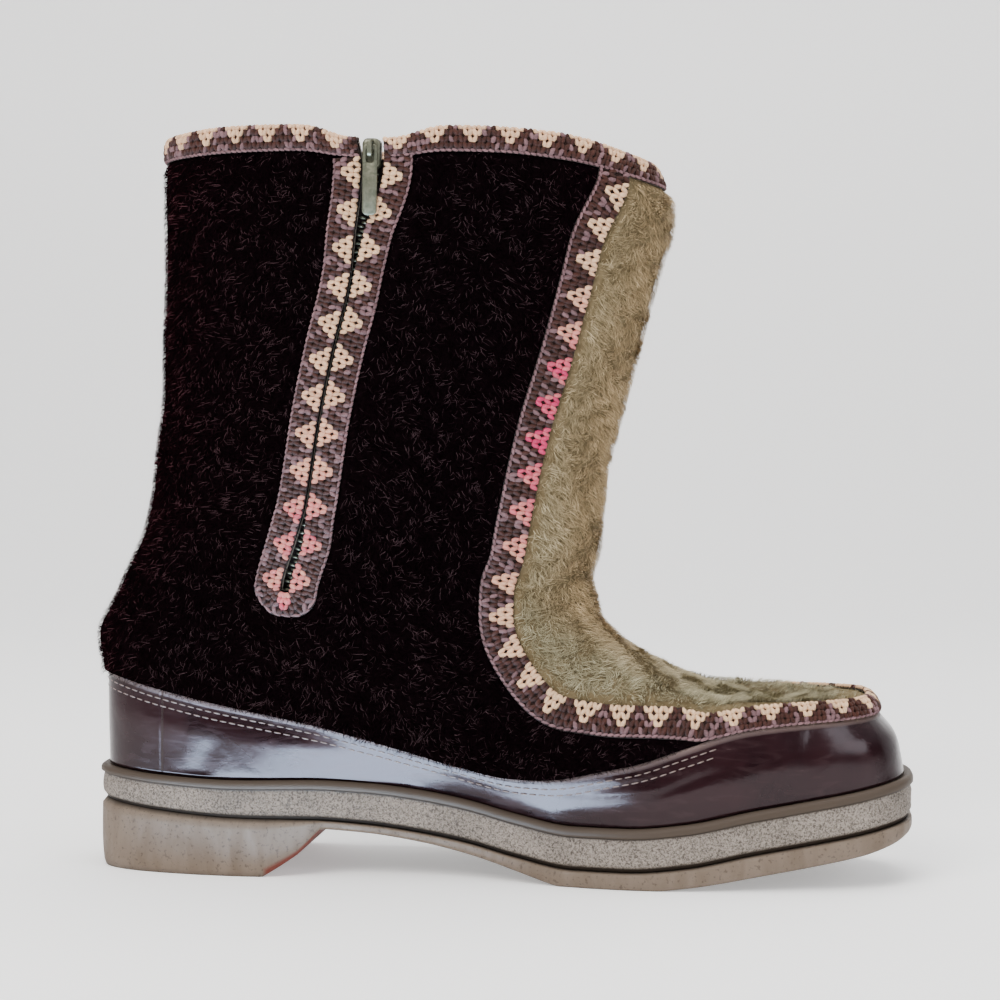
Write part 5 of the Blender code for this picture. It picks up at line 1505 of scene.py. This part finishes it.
def hair_roots(net, olive, pile, rng):
    """Roots on the ground of one colour: places, the ways outward and down the pile, and the cover there."""
    levels = np.repeat(net.levels[:, None], net.columns + 1, axis=1)
    ground = fur_ground(net.turns, levels, net.cover, pile)
    normals = skin_normal(net.turns.ravel(), levels.ravel()).reshape(ground.shape)
    down = unit(-np.gradient(ground, axis=0))
    row, column = np.nonzero(net.cells(net.foxing, net.top, olive))
    sides = ground[row + 1, column] - ground[row, column], ground[row, column + 1] - ground[row, column]
    area = np.linalg.norm(np.cross(*sides), axis=1) * (AREA_AT_BRAID - net.cover[row, column])
    pick = rng.choice(len(row), HAIR_COUNT, p=area / area.sum())
    row, column = row[pick], column[pick]
    a, b = rng.random((2, HAIR_COUNT))

    def at(grid):
        weights = ((1 - a) * (1 - b), a * (1 - b), a * b, (1 - a) * b)
        corners = (grid[row, column], grid[row + 1, column], grid[row + 1, column + 1], grid[row, column + 1])
        if grid.ndim == 3:
            weights = [weight[:, None] for weight in weights]
        return sum(weight * corner for weight, corner in zip(weights, corners))

    return at(ground), unit(at(normals)), unit(at(down)), at(net.cover)


def grow_fur(net, name, olive, pile, hair_length, material, node, seed):
    """One piece of fur: bent hairs rooted all over the ground of one colour, shorter beside the braids."""
    rng = np.random.default_rng(seed)
    root, out, nap, cover = hair_roots(net, olive, pile, rng)
    aside = np.cross(out, nap)
    tuft = waves(root, TUFT_SIZE, seed + 1)[:, None]
    swirl = waves(root, SWIRL_SIZE, seed + 2)[:, None]
    loose = rng.normal(0, 1, (3, HAIR_COUNT, 1))
    turned = ASIDE_BY_SWIRL * swirl + ASIDE_BY_TUFT * tuft + ASIDE_BY_CHANCE * loose[0]
    lie = unit(nap * (NAP + NAP_BY_TUFT * tuft) + aside * turned)
    length = (hair_length * (1 - SHORTER_AT_BRAID * cover) * rng.uniform(*HAIR_LENGTHS, HAIR_COUNT))[:, None]
    first = unit(out * (ROOT_STAND + ROOT_CHANCE * loose[1]) + lie * ROOT_LEAN)
    second = unit(out * TIP_STAND + lie * (TIP_LEAN + TIP_CHANCE * loose[1]) + aside * TIP_ASIDE * loose[2])
    middle = root + first * length * 0.5
    tip = middle + second * length * 0.5
    across = unit(np.cross(first, out + HAIR_TWIST * loose[0] * aside)) * (HAIR_WIDTH / 2)
    root -= out * ROOT_SINK
    narrow = across * HAIR_TAPER
    points = np.stack([root - across, root + across, middle - narrow, middle + narrow, tip], axis=1)
    each = points.shape[1]
    faces = (np.array(HAIR_FACES)[None] + np.arange(HAIR_COUNT)[:, None, None] * each).reshape(-1, 3)
    made = mesh_object(name, points.reshape(-1, 3), [faces], material)
    paint(made, "along", np.tile(HAIR_ALONG, HAIR_COUNT))
    # Tint picks the pale hairs that stand for painted glints.
    tint = TINT_MIDDLE + TINT_WAVE * waves(root, TINT_SIZE, seed + 3) + rng.normal(0, TINT_SPREAD, HAIR_COUNT)
    paint(made, "tint", np.repeat(np.clip(tint, 0, 1), each))
    # Painted sheen: how far each hair's ground faces the toe or heel.
    paint(made, "facing_sheen", np.repeat(smooth(np.abs(out[:, 0])), each))
    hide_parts(node)


def make_fur(net):
    """The hairs of both furs."""
    dark = fur_material("dark_fur_hair", *DARK_HAIR_TONES)
    olive = fur_material("olive_fur_hair", *OLIVE_HAIR_TONES)
    for number, seed in enumerate(DARK_HAIR["seeds"]):
        name = "dark_hairs_" + str(number + 1)
        grow_fur(net, name, False, PILE, DARK_HAIR["length"], dark, "upper", seed)
    grow_fur(net, "olive_hairs", True, PANEL_PILE, OLIVE_HAIR["length"], olive, "front_panel",
             OLIVE_HAIR["seeds"][0])


# Zip

def zip_frame(net):
    """The place of the pull's axis, with the directions across, up and outward."""
    level = np.array([1 - 0.5 * COLLAR_BRAID_DROP / UPPER_HEIGHT])
    turn = net.zip.turn(level)
    out = skin_normal(turn, level)[0]
    by_turn, _ = skin_slopes(turn, level)
    across = unit(by_turn[0] - out * np.dot(by_turn[0], out))
    up = np.cross(out, across)
    if up[2] < 0:
        across, up = -across, -up
    point = shell(turn, level)[0] + out * (SLIDER_FRONT + BAIL_REACH / 2)
    return point, across, up, out


def rounded_rectangle(width, low, high, corner):
    """An upright rectangle with round corners, as across and up pairs."""
    half = width / 2
    loop = []
    for a, b, first in ((half - corner, high - corner, 0), (-half + corner, high - corner, 90),
                        (-half + corner, low + corner, 180), (half - corner, low + corner, 270)):
        for angle in np.radians(np.linspace(first, first + 90, CORNER_POINTS)):
            loop.append((a + corner * math.cos(angle), b + corner * math.sin(angle)))
    return loop


def make_teeth(net, metal, face, bottom):
    """Teeth from both sides in turn, up to the slider."""
    top_level = 1 - (0.5 * COLLAR_BRAID_DROP - bottom + 2 * GAP) / UPPER_HEIGHT
    levels = np.arange(net.slit_level, top_level, TEETH_PITCH / UPPER_HEIGHT)
    hand = np.where(np.arange(len(levels)) % 2 == 0, 1.0, -1.0)
    reach = TEETH_WIDTH / 2
    ends = []
    for distance in (-hand * reach, hand * reach * TEETH_GRIP):
        turns, moved = net.zip.moved(levels, distance)
        ends.append(skin(turns, moved, face - TEETH_RADIUS))
    outward = skin_normal(net.zip.turn(levels), levels)
    points, faces, _ = plump(ends[0], ends[1], outward, TEETH_RADIUS)
    made = mesh_object("zip_tooth_chain", points, faces, metal)
    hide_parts("zip_teeth")


def make_slider(place, metal, face, bottom):
    """The slider's body and the bail that the pull hangs from."""
    point, across, up, out = place
    back = face - TEETH_THICKNESS
    middle = point + out * ((SLIDER_FRONT + back) / 2 - SLIDER_FRONT - BAIL_REACH / 2)
    outline = rounded_rectangle(SLIDER_WIDTH, bottom, SLIDER_ABOVE * SLIDER_HEIGHT, SLIDER_WIDTH / 3)
    slot = rounded_rectangle(*SLIDER_SLOT)
    parts = [plate(outline, slot, SLIDER_FRONT - back, SLIDER_BEVEL, (middle, across, up, out))]
    low, high = -BAIL_BELOW * PULL_CROSSBAR - BAIL_BAR, PULL_CROSSBAR + BAIL_BAR
    floor = -BAIL_REACH / 2 - BAIL_ROOT
    bail = rounded_rectangle(high - low, floor, BAIL_REACH / 2 + BAIL_BAR, BAIL_CORNER)
    gap = rounded_rectangle(high - low - 2 * BAIL_BAR, floor + BAIL_FLOOR, BAIL_REACH / 2, BAIL_GAP_CORNER)
    parts.append(plate(bail, gap, BAIL_WIDTH, BAIL_BEVEL, (point + up * (low + high) / 2, up, out, across)))
    points, faces = gathered(parts)
    made = mesh_object("zip_slider_body", points, faces, metal)
    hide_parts("zip_slider")


def make_pull(place, metal):
    """The pull's tab with its window."""
    high = PULL_CROSSBAR / 2
    width, length = PULL_WINDOW
    outline = rounded_rectangle(PULL_WIDTH, high - PULL_LENGTH, high, PULL_WIDTH * PULL_CORNER)
    window = rounded_rectangle(width, -high - length, -high, width * PULL_CORNER)
    points, faces = plate(outline, window, PULL_THICKNESS, PULL_BEVEL, place)
    made = mesh_object("zip_pull_tab", points, faces, metal, "pull")
    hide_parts("zip_pull")


def make_zip(net):
    """Teeth, slider with its bail, and the pull."""
    metal = metal_material()
    place = zip_frame(net)
    face, bottom = -SHAFT_WALL - GAP, -SLIDER_BELOW * SLIDER_HEIGHT
    make_teeth(net, metal, face, bottom)
    make_slider(place, metal, face, bottom)
    make_pull(place, metal)


def finish_plain_nodes():
    """Cloth for the solids whose shape stays as it is."""
    footbed = cloth_material("footbed_felt", *FELT)
    tape = cloth_material("zip_tape_weave", *TAPE_CLOTH)
    for node, material in (("insole", footbed), ("zip_tape", tape)):
        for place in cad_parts[node].material_slots:
            place.material = material


# Studio

def make_floor():
    """Pale floor curving up to a backdrop."""
    surface = Surface("studio_floor", (0.92, 0.92, 0.92), 0.7, Emission_Color=(1.0, 1.0, 1.0, 1.0),
                      Emission_Strength=FLOOR_GLOW)
    flat_end = FLOOR_DEPTH - BACKDROP_BEND
    profile = [(FLOOR_FRONT, 0.0), (flat_end, 0.0)]
    bend = BACKDROP_BEND
    for angle in np.linspace(0, math.pi / 2, BACKDROP_STEPS)[1:]:
        profile.append((flat_end + bend * math.sin(angle), bend - bend * math.cos(angle)))
    profile.append((FLOOR_DEPTH, BACKDROP_HEIGHT))
    points = [(side * FLOOR_WIDTH / 2, y, z) for y, z in profile for side in (-1, 1)]
    mesh = bpy.data.meshes.new("studio_floor")
    mesh.from_pydata(points, [], [(i, i + 1, i + 3, i + 2) for i in range(0, len(points) - 2, 2)])
    mesh.shade_smooth()
    mesh.materials.append(surface.material)
    floor = linked("studio_floor", mesh)


def area_lamp(name, place, sides, power, colour):
    """An area light at a place, facing down until it is turned."""
    data = bpy.data.lights.new(name, "AREA")
    data.shape = "RECTANGLE"
    data.size, data.size_y = sides
    data.energy = power
    data.color = colour
    lamp = linked(name, data)
    lamp.location = place
    return lamp


def make_lights():
    """Soft lights round the boot, and a bluish panel on the floor for the highlight on the leather."""
    for name, place, side, power, colour in LIGHTS:
        lamp = area_lamp(name, place, (side, side), power, colour)
        lamp.rotation_euler = (Vector(LIGHT_AIM) - Vector(place)).to_track_quat("-Z", "Y").to_euler()
    low = area_lamp("low_light", LOW_LIGHT_PLACE, LOW_LIGHT_SIZE, LOW_LIGHT_POWER, LOW_LIGHT_COLOUR)
    low.rotation_euler = (math.radians(180), 0.0, 0.0)
    low.visible_camera = False
    low.visible_diffuse = False


def make_studio():
    """Floor, lights, room and the photograph's camera."""
    make_floor()
    make_lights()
    make_world()
    make_camera()


def make_world():
    """A room that is bright overhead and dim brown at eye level, which is what glossy leather shows."""
    world = bpy.data.worlds.new("studio")
    world.use_nodes = True
    nodes, links = world.node_tree.nodes, world.node_tree.links
    parts = nodes.new("ShaderNodeSeparateXYZ")
    links.new(nodes.new("ShaderNodeTexCoord").outputs["Generated"], parts.inputs[0])
    ramp = nodes.new("ShaderNodeValToRGB")
    fill_ramp(ramp, ROOM)
    links.new(parts.outputs["Z"], ramp.inputs["Fac"])
    links.new(ramp.outputs["Color"], nodes["Background"].inputs["Color"])
    nodes["Background"].inputs["Strength"].default_value = ROOM_STRENGTH
    bpy.context.scene.world = world


def make_camera():
    """The camera at the photograph's angle, framing the one boot."""
    low, high = CAD_BOX
    target = Vector(((low[0] + high[0]) / 2, 0.0, (low[2] + high[2]) / 2))
    turn, rise = math.radians(VIEW_TURN), math.radians(VIEW_RISE)
    away = Vector((math.sin(turn) * math.cos(rise), -math.cos(turn) * math.cos(rise), math.sin(rise)))
    data = bpy.data.cameras.new("photo_camera")
    data.sensor_width = SENSOR
    data.lens = SENSOR * VIEW_DISTANCE / VIEW_WIDTH
    data.clip_start = NEAREST
    camera = linked("photo_camera", data)
    camera.location = target + away * VIEW_DISTANCE
    camera.rotation_euler = (-away).to_track_quat("-Z", "Y").to_euler()
    bpy.context.scene.camera = camera


SHIFT = frame_shift()
NET = Net()
make_studio()
make_sole()
make_upper(NET)
make_braids(NET)
make_fur(NET)
make_zip(NET)
finish_plain_nodes()
